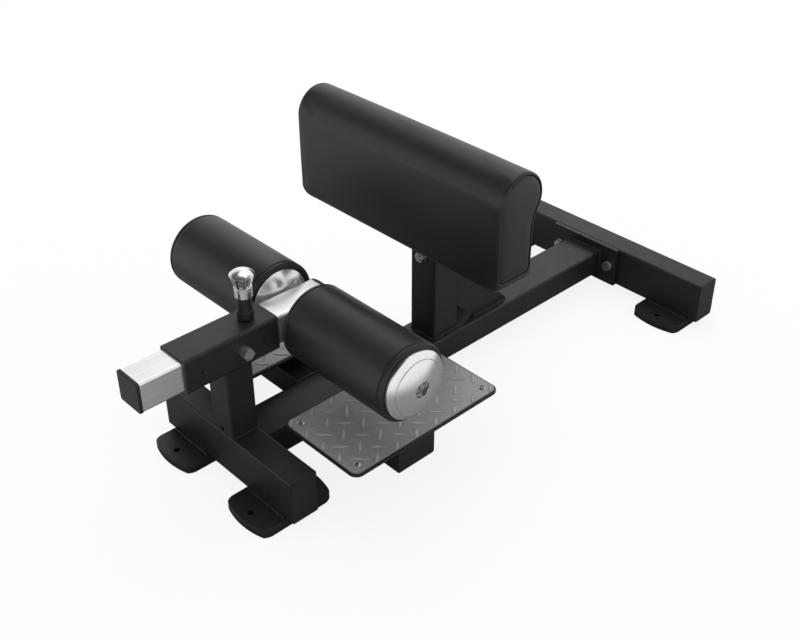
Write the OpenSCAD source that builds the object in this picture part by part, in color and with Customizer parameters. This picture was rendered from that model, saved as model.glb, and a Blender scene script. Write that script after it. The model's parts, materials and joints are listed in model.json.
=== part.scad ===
/* [Base tubes] */
// Height of both cross members of the base
base_h = 80; // [70:1:90]
// Depth of both cross members, front to back
base_d = 50; // [46:1:60]
// Length of the front cross member over its end caps
front_base_l = 334; // [320:1:420]
// Length of the rear cross member over its end caps
rear_base_l = 540; // [480:1:640]
// Clear distance between the two cross members
base_gap = 848; // [800:1:950]
// Wall of the black frame tubes
frame_wall = 3; // [2:0.5:4]
// Outer corner radius of the frame tubes
frame_r = 4; // [3:0.5:6]

/* [Feet] */
// Width of a foot along its cross member
foot_w = 100; // [80:1:120]
// Length of a foot, front to back
foot_l = 145; // [130:1:170]
// Thickness of the steel foot plate
foot_t = 8; // [5:0.5:10]
// Thickness of the rubber sole
sole_t = 8; // [5:0.5:12]
// Radius of the curved ends of a foot
foot_end_r = 140; // [110:1:200]
// Radius of the corners of a foot
foot_corner_r = 22; // [10:1:30]
// Distance from the end of a cross member to the outer side of its foot
foot_inset = 17; // [5:1:30]
// Diameter of the floor anchor holes
anchor_d = 11; // [8:0.5:14]
// Distance between the two anchor holes of a foot
anchor_pitch = 109; // [100:1:115]

/* [Beam and rear joint] */
// Width of the centre beam and of the cross tubes
beam_w = 80; // [70:1:90]
// Height of the centre beam and of the cross tubes
beam_h = 50; // [40:1:60]
// Height of the underside of the beam above the floor
beam_z = 30; // [24:1:36]
// Thickness of the rear flange
flange_t = 8; // [6:0.5:12]
// Width of the rear flange
flange_w = 160; // [150:1:200]
// Distance between the two flange bolts
flange_pitch = 122; // [118:1:126]

/* [Bolts] */
// Shank diameter of the frame bolts
bolt_d = 10; // [8:1:12]
// Width across the flats of the frame bolts
bolt_af = 17; // [16:1:19]
// Height of a frame bolt head
head_h = 6.4; // [5:0.1:8]
// Height of a frame nut
nut_h = 8.4; // [6:0.1:10]
// Thickness of a frame washer
washer_t = 2; // [1:0.1:3]
// Diameter of a frame washer
washer_d = 20; // [19:1:24]

/* [Post and sleeve] */
// Side of the square front post
post_w = 50; // [40:1:56]
// Side of the square sleeve
sleeve_w = 60; // [58:1:66]
// Length of the sleeve without its liner lips
sleeve_l = 165; // [160:1:180]
// Distance that the sleeve stands out in front of the base
sleeve_out = 68; // [60:1:75]
// Height of the sleeve's centre above the floor
sleeve_z = 253.5; // [245:0.5:270]
// Thickness of the lip of a liner
lip_t = 2; // [1:0.5:3]
// Length of the front liner inside the sleeve
liner_front_l = 44; // [42:1:60]
// Length of the rear liner inside the sleeve
liner_rear_l = 52; // [48:1:55]
// Diameter of the studs that hold the liners
stud_d = 9; // [6:0.5:12]
// Distance of a liner stud from the end of the sleeve
stud_in = 26; // [24:1:28]
// Depth of the studs' heads below the sleeve's face
stud_deep = 1.8; // [0.3:0.1:2]
// Diameter of the drain hole at the foot of the post
drain_d = 8.5; // [4:0.5:10]
// Height of the drain hole above the foot of the post
drain_h = 9; // [7:0.5:14]
// Place of the side bolt behind the front of the base
side_bolt_y = 32; // [26:1:34]

/* [Slide tube] */
// Side of the square slide tube
slide_w = 51; // [48:0.5:52]
// Wall of the slide tube
slide_wall = 3; // [2:0.5:4]
// Corner radius of the slide tube
slide_r = 4; // [3:0.5:6]
// Distance that the slide tube stands out in front of the base, cap included
slide_out = 146; // [135:0.5:160]
// Length of the slide tube without its caps
slide_l = 348.5; // [340:0.5:360]
// Thickness of the front end cap
front_cap_t = 5; // [2:0.5:6]
// Overhang of the front end cap round the tube
front_cap_over = 1; // [0:0.5:2]
// Length of the rear end cap behind the tube
rear_cap_l = 11; // [8:0.5:14]
// Distance between two index holes
index_pitch = 25; // [24:0.5:27]

/* [Pull pin] */
// Place of the pull pin behind the front of the base
pin_y = 62; // [60:0.5:64]
// Diameter of the pin
pin_d = 12; // [8:0.5:12]
// Travel of the pin
pin_travel = 12; // [8:0.5:12]
// Gap under the lifted pin
pin_gap = 0.8; // [0.4:0.1:1.2]
// Outer diameter of the barrel
barrel_d = 26; // [25:0.5:28]
// Diameter of the barrel's neck
neck_d = 24; // [23:0.5:24.5]
// Height of the barrel
barrel_h = 40; // [31:0.5:44]
// Height of the barrel's thicker part
barrel_low_h = 15; // [12:0.5:16]
// Diameter of the knob's cup
cup_d = 27.4; // [27:0.2:30]
// Height of the knob's cup
cup_h = 16; // [15:0.5:24]
// Height of the fluted part of the knob
flute_h = 21; // [14:0.5:24]
// Diameter of the knob at its widest
knob_d = 38; // [32:0.5:44]
// Height of the knob's domed top
dome_h = 8; // [4:0.5:9]
// Radius of a flute at its foot
flute_r = 2.8; // [2:0.1:3.2]
// Number of flutes
flutes = 8; // [5:1:12]
// Wire diameter of the pin's spring
wire_d = 1.2; // [0.8:0.1:1.4]
// Number of coils of the pin's spring
coils = 4; // [3:1:4]

/* [Rollers] */
// Diameter of a roller
roller_d = 126; // [110:1:140]
// Length of a roller's cover
roller_l = 216; // [180:1:260]
// Distance between the two rollers' covers
roller_gap = 85; // [82:1:100]
// Radius of the rounded edges of a cover
roller_edge = 5; // [3:0.5:14]
// Distance of the axle behind the front of the base
axle_y = 158.5; // [154:0.5:170]
// Diameter of the axle
axle_d = 20; // [16:0.5:24]
// Outer diameter of a roller's core tube
core_d = 50; // [44:1:60]
// Wall of the core tube
core_wall = 3; // [2:0.5:4]
// Diameter of the outer end caps
outer_cap_d = 110; // [90:1:114]
// Height of the outer cap's side
cap_side = 7; // [4:0.5:10]
// Height of the outer cap's dome
outer_dome = 16; // [10:0.5:20]
// Diameter of the inner end caps
inner_cap_d = 104; // [90:1:110]
// Height of the inner cap's dome
inner_dome = 12; // [8:0.5:13]
// Radius of the groove round the outer cap
groove_r = 43.5; // [34:0.5:45]
// Thickness of the spun caps
cap_t = 2; // [1.8:0.1:3]
// Diameter of the well for the end screw
well_d = 26; // [24:0.5:30]
// Depth of the well
well_depth = 14; // [10:0.5:16]

/* [Foot plates] */
// Length of a foot plate, front to back
plate_l = 310; // [280:1:340]
// Width of a foot plate
plate_w = 172; // [150:1:200]
// Distance between the two foot plates
plate_gap = 128; // [110:1:140]
// Place of the plates' front edge behind the front of the base
plate_y = 68; // [58:1:80]
// Height of the tread surface above the floor
plate_z = 116; // [110:1:130]
// Thickness of the steel backing plate
backing_t = 4; // [2:0.5:5]
// Thickness of the tread sheet
tread_t = 2; // [2:0.5:4]
// Distance of the tread sheet's edge from the backing plate's edge
tread_in = 3.5; // [0:0.5:5]
// Corner radius of the plates
plate_r = 15; // [8:1:25]
// Distance of the screws from the plate's edges
screw_in = 20; // [15:1:28]
// Length of a cross tube from the beam, cap included
cross_l = 164; // [150:1:175]
// Length of the riser under a plate
riser_l = 200; // [150:1:220]
// Width of the riser
riser_w = 60; // [40:1:70]

/* [Pad] */
// Side of the square pad post
pad_post_w = 60; // [56:1:66]
// Wall of the pad post
pad_post_wall = 4.5; // [3:0.5:5]
// Place of the pad post's front face behind the front of the base
pad_post_y = 432.5; // [425:0.5:450]
// Height of the top of the pad post above the floor
pad_post_top = 284; // [275:1:287]
// Height of the pad bolt above the floor
pad_bolt_z = 240; // [236:1:250]
// Length of the foot of a gusset along the beam
gusset_l = 130; // [110:1:150]
// Size of the cut inner corner of a gusset
gusset_cut = 45; // [30:1:55]
// Thickness of a gusset
gusset_t = 6; // [4:0.5:8]
// Distance of a gusset behind the side of the post
gusset_in = 3; // [1:0.5:4]
// Length of the pad
pad_l = 470; // [420:1:520]
// Height of the pad
pad_h = 196; // [190:1:220]
// Thickness of the pad below its roll
pad_t = 77; // [70:1:80]
// Diameter of the roll along the pad's top
pad_roll_d = 93; // [86:1:100]
// Radius of the hollow behind, below the roll
pad_neck_r = 60; // [40:1:70]
// Height of the underside of the pad above the floor
pad_z = 294; // [290:1:300]
// Radius of the pad's lower front edge
pad_low_r = 10.5; // [8:0.5:14]
// Radius of the pad's lower corners, seen from the front
pad_corner_r = 30; // [24:1:36]
// Rounding of the pad's end faces
pad_end_r = 5; // [3:0.5:7]
// How far the front of the pad bulges
pad_crown = 2; // [1:0.5:5]
// Thickness of the board inside the pad
board_t = 18; // [16:0.5:22]
// Depth of the board below the pad's back
board_deep = 3; // [2:0.5:5]
// Cover of foam at the ends of the board
board_in = 14; // [12:0.5:18]
// Cover of foam below the board
board_low = 12; // [10:0.5:18]
// Thickness of the two mounting plates
mount_t = 4.5; // [3:0.5:6]
// Width over the two mounting plates
mount_w = 130; // [124:1:160]
// Height of the mounting plates
mount_h = 82; // [70:1:86]
// Height of the mounting plates' lower edge above the pad's underside
mount_up = 6; // [4:1:8]
// Distance between the pad screws, side to side
pad_screw_x = 92; // [88:1:96]
// Distance between the pad screws, up and down
pad_screw_z = 50; // [40:1:52]

/* [Clearances] */
// Running clearance of a shaft in its bore, on the radius
run_gap = 0.05; // [0.03:0.01:0.08]
// Gap round a sliding tube in its liner
slide_gap = 0.15; // [0.1:0.05:0.25]
// Gap round plugs, studs and inserts
plug_gap = 0.1; // [0.05:0.05:0.2]
// Gap between pieces that move past each other
free_gap = 0.3; // [0.25:0.05:0.4]
// Radius by which a bolt hole is wider than its bolt
hole_gap = 0.5; // [0.2:0.1:0.8]
// Gap between the pad post and the upright inside it
upright_gap = 0.5; // [0.3:0.1:0.6]

/* [Hidden] */
$fn = 64;

black_steel = [0.13, 0.13, 0.14];
black_plastic = [0.06, 0.06, 0.07];
black_rubber = [0.05, 0.05, 0.05];
black_vinyl = [0.08, 0.08, 0.09];
bright_steel = [0.80, 0.81, 0.83];
spun_alloy = [0.72, 0.73, 0.75];
tread_alloy = [0.52, 0.52, 0.54];
zinc = [0.66, 0.67, 0.68];
plywood = [0.62, 0.48, 0.32];
nylon = [0.10, 0.10, 0.11];

// The origin lies on the floor, on the centre line, halfway along the whole length.
base_z = foot_t + sole_t;
foot_over = (foot_l - base_d) / 2;
rear_y = base_d + base_gap;
y0 = (slide_out - (rear_y + base_d + foot_over)) / 2;

end_cap_t = 3;
cap_plug_l = 12;
front_foot_x = front_base_l / 2 - foot_inset - foot_w / 2;
rear_foot_x = rear_base_l / 2 - foot_inset - foot_w / 2;
base_mid_z = base_z + base_h / 2;
beam_l = base_gap - flange_t;
beam_mid_z = beam_z + beam_h / 2;
beam_top = beam_z + beam_h;

bolt_hole_r = bolt_d / 2 + hole_gap;
flange_r = 2;

sleeve_r = 5;
sleeve_inner = sleeve_w - 2 * frame_wall;
sleeve_rear = sleeve_l - sleeve_out;
liner_outer = sleeve_inner - 2 * plug_gap;
liner_inner = slide_w + 2 * slide_gap;
post_top = sleeve_z - sleeve_w / 2;
sleeve_top = sleeve_z + sleeve_w / 2;

slide_front = front_cap_t - slide_out;
slide_top = sleeve_z + slide_w / 2;
// Holes that line up with the pin one step forward, at rest, and one and two steps back.
index_steps = [-1, 0, 1, 2];

barrel_floor = 5.5;
barrel_roof = 3;
cavity_r = 9;
shoulder_t = 3;
stem_r = 4;
pin_tip = slide_top + pin_gap;
shoulder_z = sleeve_top + barrel_floor + pin_travel;
cup_z = sleeve_top + barrel_h + free_gap;

cover_in = roller_gap / 2;
cover_out = cover_in + roller_l;
cap_in = cover_in - free_gap;
cap_out = cover_out + free_gap;
core_in = cover_in + 2;
core_out = cover_out - 2;
bush_depth = 20;
collar_r = 16;
core_inner_r = core_d / 2 - core_wall;
outer_cap_top = cap_out + cap_side + outer_dome;
well_floor = outer_cap_top - well_depth;
axle_end = well_floor + free_gap;
screw_d = 8;
screw_l = 20;
screw_head_r = 7;
screw_head_h = 5;

plate_x = plate_gap / 2 + plate_w / 2;
plate_mid_y = plate_y + plate_l / 2;
backing_z = plate_z - tread_t - backing_t;
riser_h = backing_z - beam_top;
tread_screw_d = 6;

pad_post_r = 5;
pad_post_mid = pad_post_y + pad_post_w / 2;
upright_w = pad_post_w - 2 * pad_post_wall - 2 * upright_gap;
upright_front = pad_post_mid - upright_w / 2;
mount_r = 8;
upright_in = 134;
upright_r = 3.5;
pad_rear = upright_front - free_gap;
mount_z = pad_z + mount_up;
upright_top = mount_z + mount_h;
pad_screw_d = 8;
pad_screw_af = 13;
pad_washer_d = 16;
board_r = 20;
insert_r = 6;

// Places a piece that is laid out from the front face of the base.
module placed(p = [0, 0, 0]) {
    translate([p[0], y0 + p[1], p[2]]) children();
}

module rounded(w, h, r) {
    square([w - 2 * r, h], center = true);
    square([w, h - 2 * r], center = true);
    for (x = [-1, 1], y = [-1, 1]) {
        translate([x * (w / 2 - r), y * (h / 2 - r)]) circle(r);
    }
}

module hollow(w, h, wall, r) {
    difference() {
        rounded(w, h, r);
        rounded(w - 2 * wall, h - 2 * wall, max(r - wall, 0.5));
    }
}

// Turns a drawing so that its X runs along X, its Y along Z and its height along Y.
module along_y() {
    rotate([-90, 0, 0]) children();
}

// Turns a drawing so that its X runs along Y, its Y along Z and its height along X.
module along_x() {
    rotate([90, 0, 90]) children();
}

module tube_x(l, d, h, wall, r) {
    along_x() linear_extrude(l) hollow(d, h, wall, r);
}

module tube_y(l, w, h, wall, r) {
    along_y() linear_extrude(l) hollow(w, h, wall, r);
}

module tube_z(l, w, wall, r) {
    linear_extrude(l) hollow(w, w, wall, r);
}

// A plug for a tube's end: its plug points down, and its plate lies above the origin.
module end_cap(w, h, wall, r, t, over = 0) {
    edge = 1;
    full = 2 * over;
    face = full - 2 * edge;
    linear_extrude(t - edge) rounded(w + full, h + full, r + over);
    translate([0, 0, t - edge]) linear_extrude(edge) rounded(w + face, h + face, r + over - edge);
    translate([0, 0, -cap_plug_l]) linear_extrude(cap_plug_l)
        hollow(w - 2 * (wall + plug_gap), h - 2 * (wall + plug_gap), 2, 2.5);
}

// A hex bolt, whose shank runs down from the origin and whose head stands above it.
module hex_bolt(d, af, head, l) {
    cylinder(h = head, r = af / 2 / cos(30), $fn = 6);
    translate([0, 0, -l]) cylinder(h = l + head / 2, d = d);
}

module hex_nut(d, af, h) {
    difference() {
        cylinder(h = h, r = af / 2 / cos(30), $fn = 6);
        translate([0, 0, -1]) cylinder(h = h + 2, d = d + 2 * plug_gap);
    }
}

module washer(d, hole, t) {
    difference() {
        cylinder(h = t, d = d);
        translate([0, 0, -1]) cylinder(h = t + 2, d = hole + 2 * plug_gap);
    }
}

module mirrored(side) {
    if (side < 0) mirror([1, 0, 0]) children();
    else children();
}

module base_cap(side, base_l, y) {
    color(black_plastic) placed([0, y, base_mid_z]) mirrored(side)
        translate([base_l / 2 - end_cap_t, 0, 0]) along_x()
            end_cap(base_d, base_h, frame_wall, frame_r, end_cap_t);
}

module front_base_tube() {
    l = front_base_l - 2 * end_cap_t;
    color(black_steel) placed([-l / 2, base_d / 2, base_mid_z])
        tube_x(l, base_d, base_h, frame_wall, frame_r);
}

module rear_base_tube() {
    l = rear_base_l - 2 * end_cap_t;
    color(black_steel) difference() {
        placed([-l / 2, rear_y + base_d / 2, base_mid_z]) tube_x(l, base_d, base_h, frame_wall, frame_r);
        flange_bolt_places() translate([0, 0, -1]) cylinder(h = base_d + 2, r = bolt_hole_r);
    }
}

module front_cap_left() { base_cap(-1, front_base_l, base_d / 2); }
module front_cap_right() { base_cap(1, front_base_l, base_d / 2); }
module rear_cap_left() { base_cap(-1, rear_base_l, rear_y + base_d / 2); }
module rear_cap_right() { base_cap(1, rear_base_l, rear_y + base_d / 2); }

module foot_outline() {
    difference() {
        intersection() {
            rounded(foot_w, foot_l, foot_corner_r);
            translate([0, foot_end_r - foot_l / 2]) circle(foot_end_r, $fn = 128);
            translate([0, foot_l / 2 - foot_end_r]) circle(foot_end_r, $fn = 128);
        }
        for (s = [-1, 1]) translate([0, s * anchor_pitch / 2]) circle(d = anchor_d);
    }
}

module foot(x, y) {
    color(black_steel) placed([x, y + base_d / 2, sole_t]) linear_extrude(foot_t) foot_outline();
}

module soles(x, y) {
    color(black_rubber) for (s = [-1, 1]) {
        placed([s * x, y + base_d / 2, 0]) linear_extrude(sole_t) foot_outline();
    }
}

module front_foot_left() { foot(-front_foot_x, 0); }
module front_foot_right() { foot(front_foot_x, 0); }
module rear_foot_left() { foot(-rear_foot_x, rear_y); }
module rear_foot_right() { foot(rear_foot_x, rear_y); }
module front_soles() { soles(front_foot_x, 0); }
module rear_soles() { soles(rear_foot_x, rear_y); }

module centre_beam() {
    color(black_steel) placed([0, base_d, beam_mid_z])
        tube_y(beam_l, beam_w, beam_h, frame_wall, frame_r);
}

// The two bolt axes through the flange, pointing back from the face of the rear cross member.
module flange_bolt_places() {
    for (s = [-1, 1]) placed([s * flange_pitch / 2, rear_y, base_mid_z]) along_y() children();
}

module rear_flange() {
    color(black_steel) difference() {
        placed([0, rear_y - flange_t, base_mid_z]) along_y() linear_extrude(flange_t)
            rounded(flange_w, base_h, flange_r);
        flange_bolt_places() translate([0, 0, -flange_t - 1])
            cylinder(h = flange_t + 2, r = bolt_hole_r);
    }
}

module flange_bolts() {
    grip = flange_t + base_d + 2 * washer_t + nut_h + 3;
    color(zinc) flange_bolt_places() {
        translate([0, 0, -flange_t - washer_t]) mirror([0, 0, 1])
            hex_bolt(bolt_d, bolt_af, head_h, grip);
        translate([0, 0, -flange_t - washer_t]) washer(washer_d, bolt_d, washer_t);
        translate([0, 0, base_d]) washer(washer_d, bolt_d, washer_t);
        translate([0, 0, base_d + washer_t]) hex_nut(bolt_d, bolt_af, nut_h);
    }
}

module front_post() {
    color(black_steel) difference() {
        placed([0, base_d / 2, base_z + base_h])
            tube_z(post_top - base_z - base_h, post_w, frame_wall, frame_r);
        placed([0, base_d / 2 - post_w / 2 - 1, base_z + base_h + drain_h])
            along_y() cylinder(h = frame_wall + 2, d = drain_d);
    }
}

// The four studs that hold the liners, as axes that point out of the sleeve's sides.
module stud_places(y) {
    for (s = [-1, 1]) placed([0, y, sleeve_z]) mirrored(s) along_x() children();
}

module pin_axis() {
    placed([0, pin_y, 0]) children();
}

module slide_sleeve() {
    color(black_steel) difference() {
        placed([0, -sleeve_out, sleeve_z]) tube_y(sleeve_l, sleeve_w, sleeve_w, frame_wall, sleeve_r);
        for (y = [stud_in - sleeve_out, sleeve_rear - stud_in]) {
            stud_places(y) translate([0, 0, sleeve_w / 2 - frame_wall - 1])
                cylinder(h = frame_wall + 2, r = stud_d / 2 + plug_gap);
        }
        pin_axis() translate([0, 0, sleeve_top - frame_wall - 1])
            cylinder(h = frame_wall + 2, r = pin_d / 2 + free_gap);
        placed([0, side_bolt_y, sleeve_z]) along_x() translate([0, 0, sleeve_w / 2 - frame_wall - 1])
            cylinder(h = frame_wall + 2, r = bolt_d / 2 + plug_gap);
    }
}

// A liner that runs back from the origin, with its lip in front of the sleeve's end.
module liner(l) {
    along_y() translate([0, 0, -lip_t]) linear_extrude(lip_t) difference() {
        rounded(sleeve_w, sleeve_w, sleeve_r);
        rounded(liner_inner, liner_inner, slide_r);
    }
    along_y() linear_extrude(l) difference() {
        rounded(liner_outer, liner_outer, sleeve_r - frame_wall);
        rounded(liner_inner, liner_inner, slide_r);
    }
}

module liner_studs(y) {
    stud_places(y) translate([0, 0, liner_outer / 2 - 1])
        cylinder(h = sleeve_w / 2 - liner_outer / 2 + 1 - stud_deep, d = stud_d);
}

module sleeve_liner_front() {
    color(nylon) {
        placed([0, -sleeve_out, sleeve_z]) liner(liner_front_l);
        liner_studs(stud_in - sleeve_out);
    }
}

module sleeve_liner_rear() {
    color(nylon) difference() {
        union() {
            placed([0, sleeve_rear, sleeve_z]) mirror([0, 1, 0]) liner(liner_rear_l);
            liner_studs(sleeve_rear - stud_in);
        }
        pin_axis() translate([0, 0, slide_top - 1]) cylinder(h = 6, r = pin_d / 2 + free_gap);
    }
}

// The set bolt in the side of the sleeve, with its lock nut.
module side_bolt() {
    gap = 1.6;
    reach = sleeve_w / 2 - slide_w / 2 - free_gap + nut_h + gap;
    color(zinc) placed([sleeve_w / 2, side_bolt_y, sleeve_z]) along_x() {
        translate([0, 0, nut_h + gap]) hex_bolt(bolt_d, bolt_af, head_h, reach);
        hex_nut(bolt_d, bolt_af, nut_h);
    }
}

module pop_pin_barrel() {
    r = barrel_d / 2;
    low = sleeve_top + barrel_low_h;
    top = sleeve_top + barrel_h;
    foot = 3;
    color(black_steel) pin_axis() rotate_extrude() polygon([
        [pin_d / 2 + run_gap, sleeve_top],
        [r - foot, sleeve_top],
        [r, sleeve_top + foot],
        [r, low],
        [neck_d / 2, low + 1],
        [neck_d / 2, top],
        [stem_r + run_gap, top],
        [stem_r + run_gap, top - barrel_roof],
        [cavity_r, top - barrel_roof],
        [cavity_r, sleeve_top + barrel_floor],
        [pin_d / 2 + run_gap, sleeve_top + barrel_floor]
    ]);
}

// The pin, lifted clear of the slide tube, with its shoulder and its stem up into the knob.
module pop_pin_rod() {
    nose = 1;
    color(bright_steel) pin_axis() rotate_extrude() polygon([
        [0, pin_tip],
        [pin_d / 2 - nose, pin_tip],
        [pin_d / 2, pin_tip + nose],
        [pin_d / 2, shoulder_z],
        [cavity_r - free_gap, shoulder_z],
        [cavity_r - free_gap, shoulder_z + shoulder_t],
        [stem_r, shoulder_z + shoulder_t],
        [stem_r, cup_z + cup_h + flute_h / 2],
        [0, cup_z + cup_h + flute_h / 2]
    ]);
}

// A chromed knob: a cup that drops over the neck, a fluted flare and a domed top.
module pop_pin_knob() {
    cup_in = neck_d / 2 + free_gap;
    waist = cup_z + cup_h;
    wide = waist + flute_h;
    groove = 1.2;
    rim = 1.5;
    foot_r = cup_d / 2 - groove;
    lean = atan((knob_d / 2 - foot_r) / flute_h);
    dome_r = (pow(knob_d / 2, 2) + pow(dome_h, 2)) / (2 * dome_h);
    color(bright_steel) pin_axis() difference() {
        union() {
            translate([0, 0, cup_z]) cylinder(h = cup_h, d = cup_d);
            translate([0, 0, waist - 0.01])
                cylinder(h = flute_h + 0.01, r1 = foot_r, r2 = knob_d / 2);
            intersection() {
                translate([0, 0, wide + dome_h - dome_r]) sphere(dome_r, $fn = 96);
                translate([0, 0, wide - 0.01]) cylinder(h = dome_h + 1, d = knob_d);
            }
        }
        translate([0, 0, cup_z - 1]) cylinder(h = pin_travel + 2, r = cup_in);
        translate([0, 0, cup_z]) cylinder(h = cup_h + flute_h / 2 + run_gap, r = stem_r + run_gap);
        translate([0, 0, waist - 4]) difference() {
            cylinder(h = 1.5, d = cup_d + 2);
            translate([0, 0, -1]) cylinder(h = 4, d = cup_d - groove);
        }
        for (i = [0 : flutes - 1]) rotate([0, 0, i * 360 / flutes]) {
            translate([foot_r + flute_r / 2, 0, waist + rim]) rotate([0, lean, 0])
                cylinder(h = flute_h / cos(lean) - 3 * rim, r1 = flute_r, r2 = 1.3 * flute_r);
        }
    }
}

// The coil between the pin's shoulder and the roof of the barrel, pressed by the lifted pin.
module pop_pin_spring() {
    low = shoulder_z + shoulder_t;
    high = sleeve_top + barrel_h - barrel_roof;
    coil_r = cavity_r - free_gap - wire_d / 2 - 0.3;
    rise = high - low - wire_d - 2 * plug_gap;
    color(zinc) pin_axis() translate([0, 0, low + plug_gap + wire_d / 2])
        coil(coil_r, wire_d / 2, rise, coils);
}

// A round wire wound round Z, closed at both ends.
module coil(r, wire, rise, turns) {
    sides = 8;
    steps = 20 * turns;
    rings = [for (i = [0 : steps], j = [0 : sides - 1])
        let (a = 360 * turns * i / steps, b = 360 * j / sides)
        [(r + wire * cos(b)) * cos(a), (r + wire * cos(b)) * sin(a), rise * i / steps + wire * sin(b)]];
    skin = [for (i = [0 : steps - 1], j = [0 : sides - 1])
        let (k = (j + 1) % sides)
        [i * sides + j, (i + 1) * sides + j, (i + 1) * sides + k, i * sides + k]];
    start = [[for (j = [0 : sides - 1]) j]];
    end = [[for (j = [sides - 1 : -1 : 0]) steps * sides + j]];
    polyhedron(rings, concat(skin, start, end));
}

module slide_tube() {
    color(bright_steel) difference() {
        placed([0, slide_front, sleeve_z]) tube_y(slide_l, slide_w, slide_w, slide_wall, slide_r);
        for (i = index_steps) placed([0, pin_y - i * index_pitch, slide_top - slide_wall - 1])
            cylinder(h = slide_wall + 2, r = pin_d / 2 + free_gap);
        axle_axis(-slide_w) cylinder(h = 2 * slide_w, r = axle_d / 2 + run_gap);
    }
}

module slide_cap_front() {
    color(black_plastic) placed([0, slide_front, sleeve_z]) mirror([0, 1, 0]) along_y()
        end_cap(slide_w, slide_w, slide_wall, slide_r, front_cap_t, front_cap_over);
}

module slide_cap_rear() {
    step = 3;
    color(black_plastic) placed([0, slide_front + slide_l, sleeve_z]) along_y() {
        end_cap(slide_w, slide_w, slide_wall, slide_r, rear_cap_l / 2);
        linear_extrude(rear_cap_l - 2) rounded(slide_w - 2 * step, slide_w - 2 * step, slide_r);
        linear_extrude(rear_cap_l) rounded(slide_w - 4 * step, slide_w - 4 * step, slide_r);
    }
}

// The axle's line, with its height along X from the given place.
module axle_axis(x) {
    placed([x, axle_y, sleeve_z]) rotate([0, 90, 0]) children();
}

module roller_axle() {
    color(bright_steel) difference() {
        axle_axis(-axle_end) cylinder(h = 2 * axle_end, d = axle_d);
        for (s = [-1, 1]) mirrored(s) axle_axis(axle_end - screw_l)
            cylinder(h = screw_l + 1, r = screw_d / 2 + plug_gap);
    }
}

// The two screws and washers that keep the rollers on the axle.
module axle_screws() {
    socket_r = 2.9;
    color(zinc) for (s = [-1, 1]) mirrored(s) axle_axis(axle_end) {
        washer(well_d - 2, screw_d, washer_t);
        difference() {
            union() {
                translate([0, 0, washer_t]) cylinder(h = screw_head_h, r = screw_head_r);
                translate([0, 0, 1 - screw_l]) cylinder(h = screw_l + washer_t, d = screw_d);
            }
            translate([0, 0, washer_t + screw_head_h - 3]) cylinder(h = 4, r = socket_r, $fn = 6);
        }
    }
}

module roller_core(side) {
    color(black_steel) mirrored(side) axle_axis(core_in) difference() {
        cylinder(h = core_out - core_in, d = core_d);
        translate([0, 0, -1]) cylinder(h = core_out - core_in + 2, r = core_inner_r);
    }
}

// The padded sleeve: a cylinder with rounded edges over the core tube.
module roller_cover(side) {
    inner = core_d / 2 + free_gap;
    e = roller_edge;
    wide = roller_d / 2 - inner;
    color(black_vinyl) mirrored(side) axle_axis(cover_in) rotate_extrude($fn = 96) {
        translate([inner, e]) square([wide, roller_l - 2 * e]);
        translate([inner, 0]) square([wide - e, roller_l]);
        for (z = [e, roller_l - e]) translate([roller_d / 2 - e, z]) circle(e);
    }
}

module dome(r, high) {
    ball = (r * r + high * high) / (2 * high);
    intersection() {
        translate([0, 0, high - ball]) sphere(ball, $fn = 128);
        cylinder(h = high + 1, r = r);
    }
}

// Half of a dome seen from the side, standing on the given height.
module half_dome(r, high, base) {
    ball = (r * r + high * high) / (2 * high);
    intersection() {
        translate([0, base + high - ball]) circle(ball, $fn = 256);
        translate([0, base]) square([r, high + 1]);
    }
}

// A spun cap with a low side, a grooved dome and a well for the end screw.
module roller_outer_cap(side) {
    r = outer_cap_d / 2;
    well_r = well_d / 2;
    groove = 1;
    groove_z = cap_side + outer_dome * (1 - pow(groove_r / r, 2)) - groove;
    color(spun_alloy) mirrored(side) axle_axis(cap_out) rotate_extrude($fn = 128) difference() {
        union() {
            square([r, cap_side]);
            half_dome(r, outer_dome, cap_side);
        }
        difference() {
            union() {
                translate([0, -1]) square([r - cap_t, cap_side + 1]);
                half_dome(r - cap_t, outer_dome - cap_t, cap_side);
            }
            square([well_r + cap_t, cap_side + outer_dome]);
        }
        translate([groove_r, groove_z]) square([groove, 3 * groove]);
        translate([0, well_floor - cap_out]) square([well_r, well_depth + 1]);
        translate([0, -1]) square([axle_d / 2 + free_gap, cap_side + outer_dome]);
    }
}

module roller_inner_cap(side) {
    r = inner_cap_d / 2;
    color(spun_alloy) mirrored(side) axle_axis(cap_in) mirror([0, 0, 1]) rotate_extrude($fn = 128)
        difference() {
            half_dome(r, inner_dome, 0);
            half_dome(r - cap_t, inner_dome - cap_t, 0);
            translate([0, -1]) square([collar_r + run_gap, inner_dome + 2]);
        }
}

// The two bushes of a roller: the inner one has a collar that reaches the slide tube.
module roller_bushes(side) {
    bore = axle_d / 2 + run_gap;
    flange_r = core_d / 2;
    hub_in = slide_w / 2 + free_gap;
    color(nylon) mirrored(side) axle_axis(0) {
        difference() {
            union() {
                translate([0, 0, hub_in]) cylinder(h = core_in - hub_in, r = collar_r);
                translate([0, 0, cover_in]) cylinder(h = core_in - cover_in, r = flange_r);
                translate([0, 0, core_in]) cylinder(h = bush_depth, r = core_inner_r - plug_gap);
            }
            cylinder(h = core_out, r = bore);
        }
        difference() {
            union() {
                translate([0, 0, core_out]) cylinder(h = cap_out - core_out, r = flange_r);
                translate([0, 0, core_out - bush_depth])
                    cylinder(h = bush_depth, r = core_inner_r - plug_gap);
            }
            translate([0, 0, core_in]) cylinder(h = axle_end, r = bore);
        }
    }
}

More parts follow.
